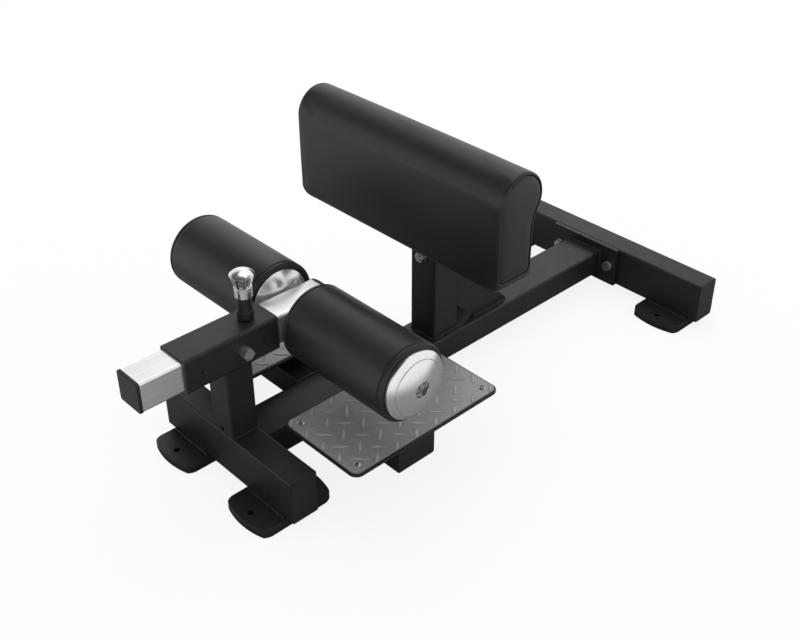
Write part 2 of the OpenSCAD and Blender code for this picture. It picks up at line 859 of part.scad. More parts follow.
module roller_core_left() { roller_core(-1); }
module roller_core_right() { roller_core(1); }
module roller_cover_left() { roller_cover(-1); }
module roller_cover_right() { roller_cover(1); }
module roller_inner_cap_left() { roller_inner_cap(-1); }
module roller_inner_cap_right() { roller_inner_cap(1); }
module roller_outer_cap_left() { roller_outer_cap(-1); }
module roller_outer_cap_right() { roller_outer_cap(1); }
module roller_bushes_left() { roller_bushes(-1); }
module roller_bushes_right() { roller_bushes(1); }

module cross_tube(side) {
    l = cross_l - end_cap_t;
    color(black_steel) mirrored(side) placed([beam_w / 2, plate_mid_y, beam_mid_z])
        tube_x(l, beam_w, beam_h, frame_wall, frame_r);
}

module cross_cap(side) {
    color(black_plastic) mirrored(side)
        placed([beam_w / 2 + cross_l - end_cap_t, plate_mid_y, beam_mid_z])
        along_x() end_cap(beam_w, beam_h, frame_wall, frame_r, end_cap_t);
}

module plate_riser(side) {
    color(black_steel) mirrored(side)
        placed([plate_x, plate_mid_y - riser_l / 2, beam_top + riser_h / 2])
            tube_y(riser_l, riser_w, riser_h, frame_wall, frame_r);
}

module tread_screw_places() {
    side = plate_w / 2 - screw_in;
    end = plate_l / 2 - screw_in;
    for (x = [-side, side], y = [-end, end]) placed([plate_x + x, plate_mid_y + y, 0]) children();
}

// A plate of the given thickness, whose edge lies inside the outline of the foot plate.
module plate(side, z, t, inside) {
    w = plate_w - 2 * inside;
    l = plate_l - 2 * inside;
    mirrored(side) difference() {
        placed([plate_x, plate_mid_y, z]) linear_extrude(t) rounded(w, l, plate_r - inside);
        tread_screw_places() translate([0, 0, z - 1])
            cylinder(h = t + 2, r = tread_screw_d / 2 + free_gap);
    }
}

module foot_plate(side) {
    color(black_steel) plate(side, backing_z, backing_t, 0);
}

module tread_plate(side) {
    color(tread_alloy) plate(side, backing_z + backing_t, tread_t, tread_in);
}

module tread_screws() {
    head_r = 6.2;
    head = 3.2;
    socket_r = 3.2;
    socket_deep = 2.2;
    nut = 5;
    end = 1.5;
    color(zinc) for (s = [-1, 1]) mirrored(s) tread_screw_places() {
        translate([0, 0, plate_z]) difference() {
            union() {
                dome(head_r, head);
                translate([0, 0, -tread_t - backing_t - nut - end])
                    cylinder(h = tread_t + backing_t + nut + end + 1, d = tread_screw_d);
            }
            translate([0, 0, head - socket_deep]) cylinder(h = head, r = socket_r, $fn = 6);
        }
        translate([0, 0, backing_z - nut]) hex_nut(tread_screw_d, 10, nut);
    }
}

module cross_tube_left() { cross_tube(-1); }
module cross_tube_right() { cross_tube(1); }
module cross_cap_left() { cross_cap(-1); }
module cross_cap_right() { cross_cap(1); }
module plate_riser_left() { plate_riser(-1); }
module plate_riser_right() { plate_riser(1); }
module foot_plate_left() { foot_plate(-1); }
module foot_plate_right() { foot_plate(1); }
module tread_plate_left() { tread_plate(-1); }
module tread_plate_right() { tread_plate(1); }

// The axis of the pad post's bolt, pointing back from the post's front face.
module pad_bolt_axis() {
    placed([0, pad_post_y, pad_bolt_z]) along_y() children();
}

module pad_post() {
    color(black_steel) difference() {
        placed([0, pad_post_mid, beam_top])
            tube_z(pad_post_top - beam_top, pad_post_w, pad_post_wall, pad_post_r);
        pad_bolt_axis() translate([0, 0, -1]) cylinder(h = pad_post_w + 2, r = bolt_hole_r);
    }
}

module post_gusset(side) {
    nose = 5;
    color(black_steel) mirrored(side)
        placed([pad_post_w / 2 - gusset_in - gusset_t, pad_post_y + pad_post_w, beam_top])
            along_x() linear_extrude(gusset_t) polygon([
                [gusset_cut, 0], [gusset_l, 0], [gusset_l, nose],
                [nose, gusset_l], [0, gusset_l], [0, gusset_cut]
            ]);
}

module post_gusset_left() { post_gusset(-1); }
module post_gusset_right() { post_gusset(1); }

module pad_upright() {
    color(black_steel) difference() {
        placed([0, pad_post_mid, pad_post_top - upright_in])
            tube_z(upright_top - pad_post_top + upright_in, upright_w, frame_wall, upright_r);
        pad_bolt_axis() translate([0, 0, -1]) cylinder(h = pad_post_w + 2, r = bolt_hole_r);
    }
}

module upright_cap() {
    color(black_plastic) placed([0, pad_post_mid, upright_top])
        end_cap(upright_w, upright_w, frame_wall, upright_r, end_cap_t);
}

// The bolt comes from behind, with its nut and its end in front.
module upright_bolt() {
    end = 3;
    grip = pad_post_w + 2 * washer_t + nut_h + end;
    color(zinc) pad_bolt_axis() {
        translate([0, 0, pad_post_w + washer_t]) hex_bolt(bolt_d, bolt_af, head_h, grip);
        translate([0, 0, pad_post_w]) washer(washer_d, bolt_d, washer_t);
        translate([0, 0, -washer_t]) washer(washer_d, bolt_d, washer_t);
        translate([0, 0, -washer_t - nut_h]) hex_nut(bolt_d, bolt_af, nut_h);
    }
}

// The four pad screws, pointing back from the front of the mounting plates.
module pad_screw_places() {
    for (x = [-1, 1], z = [-1, 1])
        placed([x * pad_screw_x / 2, upright_front, mount_z + mount_h / 2 + z * pad_screw_z / 2])
            along_y() children();
}

// Two plates welded to the upright's sides, flush with its front.
module pad_mount_plates() {
    color(black_steel) difference() {
        placed([0, upright_front, mount_z + mount_h / 2]) along_y() linear_extrude(mount_t) difference() {
            rounded(mount_w, mount_h, mount_r);
            square([upright_w, mount_h + 2], center = true);
        }
        pad_screw_places() translate([0, 0, -1])
            cylinder(h = mount_t + 2, r = pad_screw_d / 2 + hole_gap);
    }
}

// The pad's outline from the side, as points from its back plane and its underside:
// a roll on top, a hollow below it behind, and a crowned front.
function pad_outline(inset, low, crown) =
    let (
        r = pad_roll_d / 2 - inset,
        neck = pad_neck_r + inset,
        back = -inset,
        front = inset - pad_t,
        roll_y = pad_roll_d / 2 - pad_t,
        roll_z = pad_h - pad_roll_d / 2,
        turn = acos((back + neck - roll_y) / (r + neck)),
        neck_z = roll_z - (r + neck) * sin(turn),
        edge = pad_low_r - inset / 2,
        straight = roll_z - low - edge,
        roll_steps = 22,
        neck_steps = 5,
        edge_steps = 4,
        front_steps = 7
    )
    concat(
        [for (i = [0 : roll_steps]) let (a = 180 - (180 + turn) * i / roll_steps)
            [roll_y + r * cos(a), roll_z + r * sin(a)]],
        [for (i = [1 : neck_steps]) let (a = 180 - turn * (1 - i / neck_steps))
            [back + neck + neck * cos(a), neck_z + neck * sin(a)]],
        [[back, low + 3], [back - 3, low]],
        [for (i = [0 : edge_steps]) let (a = 270 - 90 * i / edge_steps)
            [front + edge + edge * cos(a), low + edge + edge * sin(a)]],
        [for (i = [1 : front_steps - 1]) let (u = i / front_steps)
            [front - crown * sin(180 * u), low + edge + straight * u]]
    );

// The pad's cross-sections from one end to the middle: distance from the end, inset and underside.
function pad_sections() =
    let (end_steps = 4, corner_steps = 5, first = acos(1 - pad_end_r / pad_corner_r))
    concat(
        [for (i = [0 : end_steps]) let (a = 90 * i / end_steps, d = pad_end_r * (1 - cos(a)))
            [d, pad_end_r * (1 - sin(a)), pad_corner_rise(d)]],
        [for (i = [1 : corner_steps])
            let (a = first + (90 - first) * i / corner_steps, d = pad_corner_r * (1 - cos(a)))
            [d, 0, pad_corner_rise(d)]],
        [[pad_l / 4, 0, 0], [pad_l * 3 / 8, 0, 0]]
    );

function pad_corner_rise(d) = pad_corner_r - sqrt(pow(pad_corner_r, 2) - pow(pad_corner_r - d, 2));

// The bulge of the pad's front at a distance from the end: none at the ends, most in the middle.
function pad_bulge(d) = pad_crown * sin(180 * d / pad_l);

module pad_solid() {
    half = pad_sections();
    count = len(half);
    sections = concat(
        [for (s = half) [s[0] - pad_l / 2, s[1], s[2], pad_bulge(s[0])]],
        [[0, 0, 0, pad_crown]],
        [for (i = [count - 1 : -1 : 0]) let (s = half[i])
            [pad_l / 2 - s[0], s[1], s[2], pad_bulge(s[0])]]
    );
    n = len(pad_outline(0, 0, 0));
    last = len(sections) - 1;
    end_middle = [(pad_roll_d / 2 - pad_t), (pad_h - pad_roll_d / 2)];
    points = concat(
        [for (s = sections) for (p = pad_outline(s[1], s[2], s[3])) [s[0], p[0], p[1]]],
        [for (x = [-1, 1]) [x * pad_l / 2, end_middle[0], end_middle[1]]]
    );
    skin = [for (i = [0 : last - 1], j = [0 : n - 1]) let (k = (j + 1) % n)
        [i * n + j, i * n + k, (i + 1) * n + k, (i + 1) * n + j]];
    ends = concat(
        [for (j = [0 : n - 1]) [(j + 1) % n, j, (last + 1) * n]],
        [for (j = [0 : n - 1]) [last * n + j, last * n + (j + 1) % n, (last + 1) * n + 1]]
    );
    placed([0, pad_rear, pad_z]) polyhedron(points, concat(skin, ends));
}

// The board inside the pad, under the cover of its back.
module pad_board_solid(grow = 0) {
    high = pad_h - pad_roll_d / 2 - board_low;
    placed([0, pad_rear - board_deep - board_t - grow, pad_z + board_low + high / 2])
        along_y() linear_extrude(board_t + 2 * grow)
            rounded(pad_l - 2 * board_in + 2 * grow, high + 2 * grow, board_r);
}

module pad_board() {
    color(plywood) difference() {
        pad_board_solid();
        pad_screw_places() translate([0, 0, -free_gap - board_deep - board_t + 2])
            cylinder(h = board_t, r = insert_r + plug_gap);
    }
}

module calf_pad() {
    color(black_vinyl) difference() {
        pad_solid();
        pad_board_solid(free_gap);
        pad_screw_places() translate([0, 0, -board_deep - 1])
            cylinder(h = board_deep + 2, r = pad_screw_d / 2 + hole_gap);
    }
}

// Screws from behind the mounting plates into threaded inserts in the board.
module pad_bolts() {
    head = 5.3;
    thin = 1.5;
    deep = free_gap + board_deep + board_t - 2;
    color(zinc) pad_screw_places() {
        translate([0, 0, mount_t + thin])
            hex_bolt(pad_screw_d, pad_screw_af, head, mount_t + thin + deep);
        translate([0, 0, mount_t]) washer(pad_washer_d, pad_screw_d, thin);
        translate([0, 0, -deep]) difference() {
            cylinder(h = board_t - 2, r = insert_r);
            translate([0, 0, -1]) cylinder(h = board_t + 2, r = pad_screw_d / 2 + plug_gap);
        }
    }
}

front_base_tube();
front_cap_left();
front_cap_right();
rear_base_tube();
rear_cap_left();
rear_cap_right();
front_foot_left();
front_foot_right();
rear_foot_left();
rear_foot_right();
front_soles();
rear_soles();
centre_beam();
rear_flange();
flange_bolts();
front_post();
slide_sleeve();
sleeve_liner_front();
sleeve_liner_rear();
side_bolt();
pop_pin_barrel();
pop_pin_rod();
pop_pin_knob();
pop_pin_spring();
slide_tube();
slide_cap_front();
slide_cap_rear();
roller_axle();
axle_screws();
roller_core_left();
roller_core_right();
roller_cover_left();
roller_cover_right();
roller_inner_cap_left();
roller_inner_cap_right();
roller_outer_cap_left();
roller_outer_cap_right();
roller_bushes_left();
roller_bushes_right();
cross_tube_left();
cross_tube_right();
cross_cap_left();
cross_cap_right();
plate_riser_left();
plate_riser_right();
foot_plate_left();
foot_plate_right();
tread_plate_left();
tread_plate_right();
tread_screws();
pad_post();
post_gusset_left();
post_gusset_right();
pad_upright();
upright_cap();
upright_bolt();
pad_mount_plates();
pad_board();
calf_pad();
pad_bolts();
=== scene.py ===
"""Sissy squat bench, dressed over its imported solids. All lengths are in metres."""
import json
import math

import bmesh
import bpy
import numpy as np
from mathutils import Matrix, Vector

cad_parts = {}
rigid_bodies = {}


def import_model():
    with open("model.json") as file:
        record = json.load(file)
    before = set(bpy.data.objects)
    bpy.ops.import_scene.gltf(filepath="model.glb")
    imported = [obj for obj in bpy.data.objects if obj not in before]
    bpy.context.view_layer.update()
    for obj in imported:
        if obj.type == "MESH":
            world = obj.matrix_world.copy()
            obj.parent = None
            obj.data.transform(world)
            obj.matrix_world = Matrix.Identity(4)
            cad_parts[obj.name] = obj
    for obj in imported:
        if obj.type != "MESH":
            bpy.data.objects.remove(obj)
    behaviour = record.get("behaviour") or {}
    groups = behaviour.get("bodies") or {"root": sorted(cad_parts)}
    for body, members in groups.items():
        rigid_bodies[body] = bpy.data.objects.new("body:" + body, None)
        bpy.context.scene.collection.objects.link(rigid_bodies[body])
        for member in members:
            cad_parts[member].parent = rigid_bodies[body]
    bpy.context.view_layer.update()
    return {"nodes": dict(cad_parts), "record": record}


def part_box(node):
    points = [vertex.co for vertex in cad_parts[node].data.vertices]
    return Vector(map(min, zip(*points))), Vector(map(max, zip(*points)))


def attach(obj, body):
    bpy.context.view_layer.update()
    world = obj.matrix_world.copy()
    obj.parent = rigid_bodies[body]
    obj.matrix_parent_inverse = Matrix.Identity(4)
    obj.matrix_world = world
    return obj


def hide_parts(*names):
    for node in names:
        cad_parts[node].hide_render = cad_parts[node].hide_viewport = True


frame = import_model()

MM = 0.001
X, Y, Z = range(3)
SIDES = {"left": -1, "right": 1}


# The node kit

# A mix node's sockets go by number, because its A, B and result have one name for every type of value.
MIX_SHARE = 0
FLOAT_A, FLOAT_B, FLOAT_RESULT = 2, 3, 0
COLOUR_A, COLOUR_B, COLOUR_RESULT = 6, 7, 2


class Nodes:
    """A node tree under way."""

    def __init__(self, tree):
        self.tree = tree

    def join(self, source, socket):
        self.tree.links.new(source, socket)

    def add(self, kind, inputs=(), **settings):
        """A new node. An input that is another node's socket is joined to it, and any other is set."""
        made = self.tree.nodes.new(kind)
        for name, value in settings.items():
            setattr(made, name, value)
        for name, value in dict(inputs).items():
            if hasattr(value, "is_output"):
                self.join(value, made.inputs[name])
            else:
                made.inputs[name].default_value = value
        return made

    def math(self, operation, *values):
        return self.add("ShaderNodeMath", dict(enumerate(values)), operation=operation).outputs[0]

    def vector_math(self, operation, *values):
        made = self.add("ShaderNodeVectorMath", dict(enumerate(values)), operation=operation)
        return made.outputs["Value" if operation in ("LENGTH", "DOT_PRODUCT") else "Vector"]

    def split(self, vector):
        return self.add("ShaderNodeSeparateXYZ", {0: vector}).outputs


def new_object(name, data):
    made = bpy.data.objects.new(name, data)
    bpy.context.scene.collection.objects.link(made)
    return made


# Camera, light and floor

# The camera that took the photograph, worked out from the straight edges of the bench's frame.
LOOK_AT = Vector((-0.21401, 0.15528, -0.06663))
CAMERA_DISTANCE = 2.2995
CAMERA_TURN, CAMERA_TILT, CAMERA_ROLL = 46.780, 34.0955, -0.121
SENSOR_WIDTH = 36
IMAGE_WIDTH = 800
FOCAL_PIXELS = 1122.42


def camera_axes():
    """Right, up and ahead of the camera that took the photograph."""
    turn, tilt, roll = (math.radians(a) for a in (CAMERA_TURN, CAMERA_TILT, CAMERA_ROLL))
    ahead = Vector((-math.sin(turn) * math.cos(tilt), math.cos(turn) * math.cos(tilt), -math.sin(tilt)))
    level = Vector((math.cos(turn), math.sin(turn), 0))
    above = level.cross(ahead)
    right = level * math.cos(roll) + above * math.sin(roll)
    up = above * math.cos(roll) - level * math.sin(roll)
    return right, up, ahead


def place_camera():
    right, up, ahead = camera_axes()
    data = bpy.data.cameras.new("camera")
    data.sensor_width = SENSOR_WIDTH
    data.lens = FOCAL_PIXELS * SENSOR_WIDTH / IMAGE_WIDTH
    camera = new_object("camera", data)
    stand = LOOK_AT - ahead * CAMERA_DISTANCE
    turned = Matrix((right, up, -ahead)).transposed().to_4x4()
    camera.matrix_world = Matrix.Translation(stand) @ turned
    bpy.context.scene.camera = camera


# The studio's lamps: place, point aimed at, width and height, and watts.
LAMPS = {
    "overhead": ((-0.3, 0.5, 2.6), (0, 0, 0.1), (2.2, 2.2), 21),
    "back_left": ((-1.75, 1.70, 1.75), (0, 0, 0.3), (1.8, 1.3), 3),
}


def hang_lamp(name, place, aim, size, power):
    """A rectangular studio lamp that points at aim."""
    data = bpy.data.lights.new(name, "AREA")
    data.shape, data.energy = "RECTANGLE", power
    data.size, data.size_y = size
    turned = (Vector(aim) - Vector(place)).to_track_quat("-Z", "Y").to_matrix().to_4x4()
    new_object(name, data).matrix_world = Matrix.Translation(place) @ turned


class Studio(Nodes):
    """The nodes of the world or of the floor's material."""

    def __init__(self, owner, output):
        owner.use_nodes = True
        super().__init__(owner.node_tree)
        self.tree.nodes.clear()
        self.out = self.add(output)
        self.path = self.add("ShaderNodeLightPath").outputs

    def ramp(self, value, start, end, low, high):
        """Runs smoothly from low at start to high at end."""
        limits = {"Value": value, "From Min": start, "From Max": end, "To Min": low, "To Max": high}
        return self.add("ShaderNodeMapRange", limits, interpolation_type="SMOOTHSTEP").outputs[0]

    def mirrored(self):
        """1 for rays that come by way of metal, gloss or glass."""
        return self.math("MAXIMUM", self.path["Is Glossy Ray"], self.path["Is Transmission Ray"])

    def seen(self):
        """1 for rays from the camera too."""
        return self.math("MAXIMUM", self.path["Is Camera Ray"], self.mirrored())

    def finish(self, share, first, second):
        both = self.add("ShaderNodeMixShader", {0: share, 1: first, 2: second})
        self.join(both.outputs[0], self.out.inputs[0])


WHITE = (1, 1, 1, 1)
FILL_STRENGTH = 0.74
CEILING_STRENGTH = 0.06
# Where the white backdrop starts and stops to fade upwards, as the sine of the angle.
BACKDROP_TOP = {"before": (0.30, 0.56), "behind": (0.60, 0.76)}
# How far to both sides of the bench the one backdrop goes over into the other, as a sine too.
BACKDROP_TURN = 0.25


def light_the_world():
    """A plain fill light. What is seen is white round the horizon, and higher up behind the bench, under a
    dim ceiling."""
    world = bpy.data.worlds.new("studio")
    bpy.context.scene.world = world
    made = Studio(world, "ShaderNodeOutputWorld")
    way = made.split(made.add("ShaderNodeTexCoord").outputs["Generated"])
    behind = made.ramp(way["Y"], -BACKDROP_TURN, BACKDROP_TURN, 0.0, 1.0)
    before_wall, behind_wall = [made.ramp(way["Z"], *BACKDROP_TOP[place], 1.0, CEILING_STRENGTH)
                                for place in ("before", "behind")]
    walls = {MIX_SHARE: behind, FLOAT_A: before_wall, FLOAT_B: behind_wall}
    strength = made.add("ShaderNodeMix", walls, data_type="FLOAT").outputs[FLOAT_RESULT]
    fill, shown = [made.add("ShaderNodeBackground", {"Color": WHITE, "Strength": power}).outputs[0]
                   for power in (FILL_STRENGTH, strength)]
    made.finish(made.seen(), fill, shown)


# Half the side of the square floor.
FLOOR_HALF = 30
# The floor near the bench ends, and the far floor starts, at these distances from its middle.
NEAR_FLOOR, FAR_FLOOR = 0.65, 1.4
# How much of the white that the camera sees is glow, which takes no shadow: near the bench, and far off.
FLOOR_GLOW = (0.86, 1.0)
FLOOR_GREY = {"lit": 0.42, "in metal": 0.32}


def lay_floor():
    """A floor that is white where nothing shades it. Metal shows it grey by the bench, and white beyond."""
    mesh = bpy.data.meshes.new("floor")
    corners = [(x * FLOOR_HALF, y * FLOOR_HALF, 0) for x, y in ((-1, -1), (1, -1), (1, 1), (-1, 1))]
    mesh.from_pydata(corners, [], [(0, 1, 2, 3)])
    floor = new_object("floor", mesh)
    mat = bpy.data.materials.new("floor")
    mesh.materials.append(mat)

    made = Studio(mat, "ShaderNodeOutputMaterial")
    away = made.vector_math("LENGTH", made.add("ShaderNodeTexCoord").outputs["Object"])
    far = made.ramp(away, NEAR_FLOOR, FAR_FLOOR, 0.0, 1.0)
    glow_share = made.ramp(away, NEAR_FLOOR, FAR_FLOOR, *FLOOR_GLOW)
    direct = made.path["Is Camera Ray"]
    greys = {"Value": made.mirrored(), "To Min": FLOOR_GREY["lit"], "To Max": FLOOR_GREY["in metal"]}
    shade = made.math("MAXIMUM", direct, made.add("ShaderNodeMapRange", greys).outputs[0])
    lit = made.add("ShaderNodeBsdfDiffuse", {"Color": shade}).outputs[0]
    glow = made.add("ShaderNodeEmission", {"Strength": 1.0}).outputs[0]
    for_camera = made.math("MULTIPLY", direct, glow_share)
    for_metal = made.math("MULTIPLY", made.mirrored(), far)
    made.finish(made.math("MAXIMUM", for_camera, for_metal), lit, glow)


def set_the_stage():
    place_camera()
    light_the_world()
    lay_floor()
    for name, settings in LAMPS.items():
        hang_lamp(name, *settings)
    bpy.context.scene.view_settings.view_transform = "Standard"


# The material kit

BEVEL_SAMPLES = 4


class Finish(Nodes):
    """A material under way: one shader, and textures in the piece's own coordinates."""

    def __init__(self, name, **sockets):
        self.material = bpy.data.materials.new(name)
        self.material.use_nodes = True
        super().__init__(self.material.node_tree)
        self.tree.nodes.clear()
        out = self.add("ShaderNodeOutputMaterial")
        self.shader = self.add("ShaderNodeBsdfPrincipled")
        self.join(self.shader.outputs[0], out.inputs[0])
        for socket, value in sockets.items():
            value = (*value, 1) if isinstance(value, tuple) else value
            self.shader.inputs[socket.replace("_", " ")].default_value = value
        self.place = self.add("ShaderNodeTexCoord").outputs["Object"]

    def noise(self, scale, detail=2.0, roughness=0.5, at=None):
        settings = {"Vector": at or self.place, "Scale": scale, "Detail": detail, "Roughness": roughness}
        return self.add("ShaderNodeTexNoise", settings).outputs["Fac"]

    def rings(self, radius, scale, detail):
        """Noise that changes with the radius only."""
        settings = {"W": radius, "Scale": scale, "Detail": detail}
        return self.add("ShaderNodeTexNoise", settings, noise_dimensions="1D").outputs["Fac"]

    def cells(self, scale, feature="F1", at=None):
        settings = {"Vector": at or self.place, "Scale": scale}
        return self.add("ShaderNodeTexVoronoi", settings, feature=feature).outputs["Distance"]

    def stretched(self, scale):
        """The piece's coordinates, scaled along each axis."""
        return self.add("ShaderNodeMapping", {"Vector": self.place, "Scale": scale}).outputs[0]

    def span(self, value, low, high, start=0.0, end=1.0):
        """Maps value from start..end to low..high."""
        limits = {"Value": value, "From Min": start, "From Max": end, "To Min": low, "To Max": high}
        return self.add("ShaderNodeMapRange", limits).outputs[0]

    def blend(self, share, first, second):
        """A colour between two, by share."""
        mix = self.add("ShaderNodeMix", data_type="RGBA")
        self.join(share, mix.inputs[MIX_SHARE])
        for socket, value in ((mix.inputs[COLOUR_A], first), (mix.inputs[COLOUR_B], second)):
            if isinstance(value, tuple):
                socket.default_value = (*value, 1)
            else:
                self.join(value, socket)
        return mix.outputs[COLOUR_RESULT]

    def sum(self, first, second, share=1.0):
        """first plus share times second."""
        return self.math("MULTIPLY_ADD", second, share, first)

    def product(self, first, second):
        return self.math("MULTIPLY", first, second)

    def colour(self, value):
        self.join(value, self.shader.inputs["Base Color"])

    def roughness(self, value):
        self.join(value, self.shader.inputs["Roughness"])

    def soft_edges(self, radius):
        """Sharp edges catch the light as if they were broken by this radius."""
        return self.add("ShaderNodeBevel", {"Radius": radius}, samples=BEVEL_SAMPLES).outputs[0]

    def edge_mask(self, radius, start, end):
        """0 on a flat or gently curved face, and 1 close to a sharp edge. start and end say how far an edge
        turns the face there, as one less the turn's cosine."""
        straight = self.add("ShaderNodeNewGeometry").outputs["Normal"]
        along = self.vector_math("DOT_PRODUCT", self.soft_edges(radius), straight)
        return self.span(self.math("SUBTRACT", 1.0, along), 0.0, 1.0, start, end)

    def bump(self, height, distance, strength, normal=None):
        inputs = {"Height": height, "Distance": distance, "Strength": strength}
        if normal is not None:
            inputs["Normal"] = normal
        self.join(self.add("ShaderNodeBump", inputs).outputs[0], self.shader.inputs["Normal"])


# The finishes, in linear colours, and with textures scaled in cycles a metre

# Most values of a noise lie between these.
NOISE_SPAN = (0.3, 0.7)

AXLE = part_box("roller_axle")
AXLE_Y, AXLE_Z = ((AXLE[0] + AXLE[1]) / 2)[1:]
TREAD_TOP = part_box("tread_plate_left")[1].z


def powder_coat():
    """Satin black powder coat: fine orange peel, faint dust, and paler edges, partly rubbed paint and partly
    a painted highlight.
    """
    f = Finish("powder_coat", Specular_IOR_Level=0.42)
    tone = f.noise(6, 4, 0.6)
    peel = f.noise(520, 2)
    base = f.blend(f.span(tone, 0, 1, 0.35, 0.7), (0.0105, 0.0105, 0.0115), (0.0165, 0.0163, 0.0168))
    speck = f.span(f.noise(140, 3, 0.7), 0.12, 0.42, 0.45, 0.78)
    # The paler edges are partly rubbed paint and partly a painted highlight along the sharp edges.
    wear_and_edge_highlight = f.product(f.edge_mask(0.0014, start=0.03, end=0.25), speck)
    f.colour(f.blend(wear_and_edge_highlight, base, (0.105, 0.104, 0.103)))
    f.roughness(f.span(f.sum(tone, f.noise(70, 3), 0.5), 0.36, 0.50, 0.5, 1.0))
    f.bump(peel, 0.00035, 0.10, f.soft_edges(0.0007))
    return f.material


def moulded_plastic():
    """Black moulded plastic with a fine spark-eroded grain."""
    f = Finish("moulded_plastic", Specular_IOR_Level=0.45)
    tone = f.noise(12, 3)
    f.colour(f.blend(tone, (0.010, 0.010, 0.011), (0.018, 0.018, 0.019)))
    f.roughness(f.span(tone, 0.42, 0.55, *NOISE_SPAN))
    f.bump(f.cells(1400), 0.0002, 0.25, f.soft_edges(0.0006))
    return f.material


def sole_rubber():
    """Matt black rubber with a dusty bloom low down."""
    f = Finish("sole_rubber", Specular_IOR_Level=0.3)
    dust = f.product(f.span(f.split(f.place)["Z"], 0.6, 0.1, 0.0, 0.012), f.noise(55, 5, 0.7))
    f.colour(f.blend(dust, (0.010, 0.010, 0.010), (0.045, 0.043, 0.040)))
    f.roughness(f.span(f.noise(90, 3), 0.7, 0.9, *NOISE_SPAN))
    f.bump(f.noise(700, 3), 0.0003, 0.3)
    return f.material


def slide_chrome():
    """Chrome plate on a drawn tube: faint lines along the tube, and rub marks from the liners."""
    f = Finish("slide_chrome", Metallic=1.0)
    lines = f.noise(1, 3, 0.6, f.stretched((900, 9, 900)))
    cloud = f.noise(14, 4, 0.55)
    rub = f.noise(1, 4, 0.7, f.stretched((260, 5, 260)))
    f.colour(f.blend(f.span(rub, 0, 1, 0.45, 0.75), (0.93, 0.935, 0.945), (0.84, 0.845, 0.855)))
    f.roughness(f.sum(f.span(cloud, 0.27, 0.35, *NOISE_SPAN), f.span(lines, 0, 0.06, 0.4, 0.8)))
    f.bump(lines, 0.00006, 0.10, f.soft_edges(0.0008))
    return f.material


def pin_chrome():
    """Bright turned chrome on the pull knob."""
    f = Finish("pin_chrome", Base_Color=(0.82, 0.82, 0.83), Metallic=1.0)
    rings = f.noise(1, 2, 0.5, f.stretched((20, 20, 2600)))
    f.roughness(f.span(f.sum(f.noise(60, 3), rings, 0.4), 0.20, 0.30, 0.4, 1.0))
    f.bump(rings, 0.00004, 0.15, f.soft_edges(0.0006))
    return f.material


def pin_steel():
    """Plain ground steel of the pin's rod and spring."""
    f = Finish("pin_steel", Metallic=1.0)
    grain = f.noise(1, 3, 0.6, f.stretched((300, 300, 2200)))
    f.colour(f.blend(grain, (0.42, 0.42, 0.43), (0.60, 0.60, 0.61)))
    f.roughness(f.span(grain, 0.22, 0.38, *NOISE_SPAN))
    f.bump(grain, 0.00004, 0.2)
    return f.material


def spun_alloy():
    """Spun metal: rings round the axle, which draw the light into two opposite fans."""
    f = Finish("spun_alloy", Metallic=1.0, Anisotropic=0.75)
    from_axle = f.add("ShaderNodeMapping", {"Vector": f.place, "Location": (0, -AXLE_Y, -AXLE_Z),
                                            "Scale": (0, 1, 1)}).outputs[0]
    radius = f.vector_math("LENGTH", from_axle)
    ring = f.rings(radius, 2600, 3)
    wide_ring = f.rings(radius, 260, 2)
    f.colour(f.blend(wide_ring, (0.80, 0.805, 0.815), (0.87, 0.875, 0.88)))
    f.roughness(f.sum(f.span(ring, 0.17, 0.24, *NOISE_SPAN), f.noise(30, 3), 0.04))
    turned = f.add("ShaderNodeVectorTransform", {0: from_axle}, vector_type="VECTOR",
                   convert_from="OBJECT", convert_to="WORLD").outputs[0]
    f.join(f.vector_math("NORMALIZE", turned), f.shader.inputs["Tangent"])
    f.bump(f.sum(ring, wide_ring, 0.8), 0.00005, 0.16, f.soft_edges(0.0006))
    return f.material


def tread_metal():
    """Grey tread sheet: a rolled grain, scuffs, and paler crowns, partly where soles rub the pattern and
    partly a painted highlight on the lenses.
    """
    f = Finish("tread_metal", Metallic=0.10, Specular_IOR_Level=0.5)
    cloud = f.noise(10, 4, 0.6)
    grain = f.noise(1, 3, 0.6, f.stretched((900, 60, 900)))
    # The paler crowns are partly rubbed metal and partly a painted highlight on the top of each lens.
    crown = f.span(f.split(f.place)["Z"], 0, 1, TREAD_TOP + 0.0004, TREAD_TOP + 0.0016)
    rub = f.product(crown, f.span(f.noise(120, 4, 0.7), 0.25, 0.9, 0.35, 0.65))
    base = f.blend(cloud, (0.295, 0.287, 0.292), (0.350, 0.342, 0.347))
    f.colour(f.blend(rub, base, (0.50, 0.494, 0.498)))
    f.roughness(f.sum(f.span(cloud, 0.22, 0.34, *NOISE_SPAN), f.span(grain, 0, 0.05, 0.4, 0.8)))
    f.bump(f.sum(grain, f.noise(400, 3), 0.6), 0.0001, 0.09, f.soft_edges(0.0005))
    return f.material


def zinc_plate():
    """Zinc-plated fasteners, cloudy and lightly brushed."""
    f = Finish("zinc_plate", Metallic=1.0)
    cloud = f.noise(120, 4, 0.6)
    f.colour(f.blend(cloud, (0.41, 0.415, 0.43), (0.62, 0.625, 0.64)))
    f.roughness(f.span(cloud, 0.28, 0.45, *NOISE_SPAN))
    f.bump(f.noise(900, 3), 0.0001, 0.2, f.soft_edges(0.0005))
    return f.material


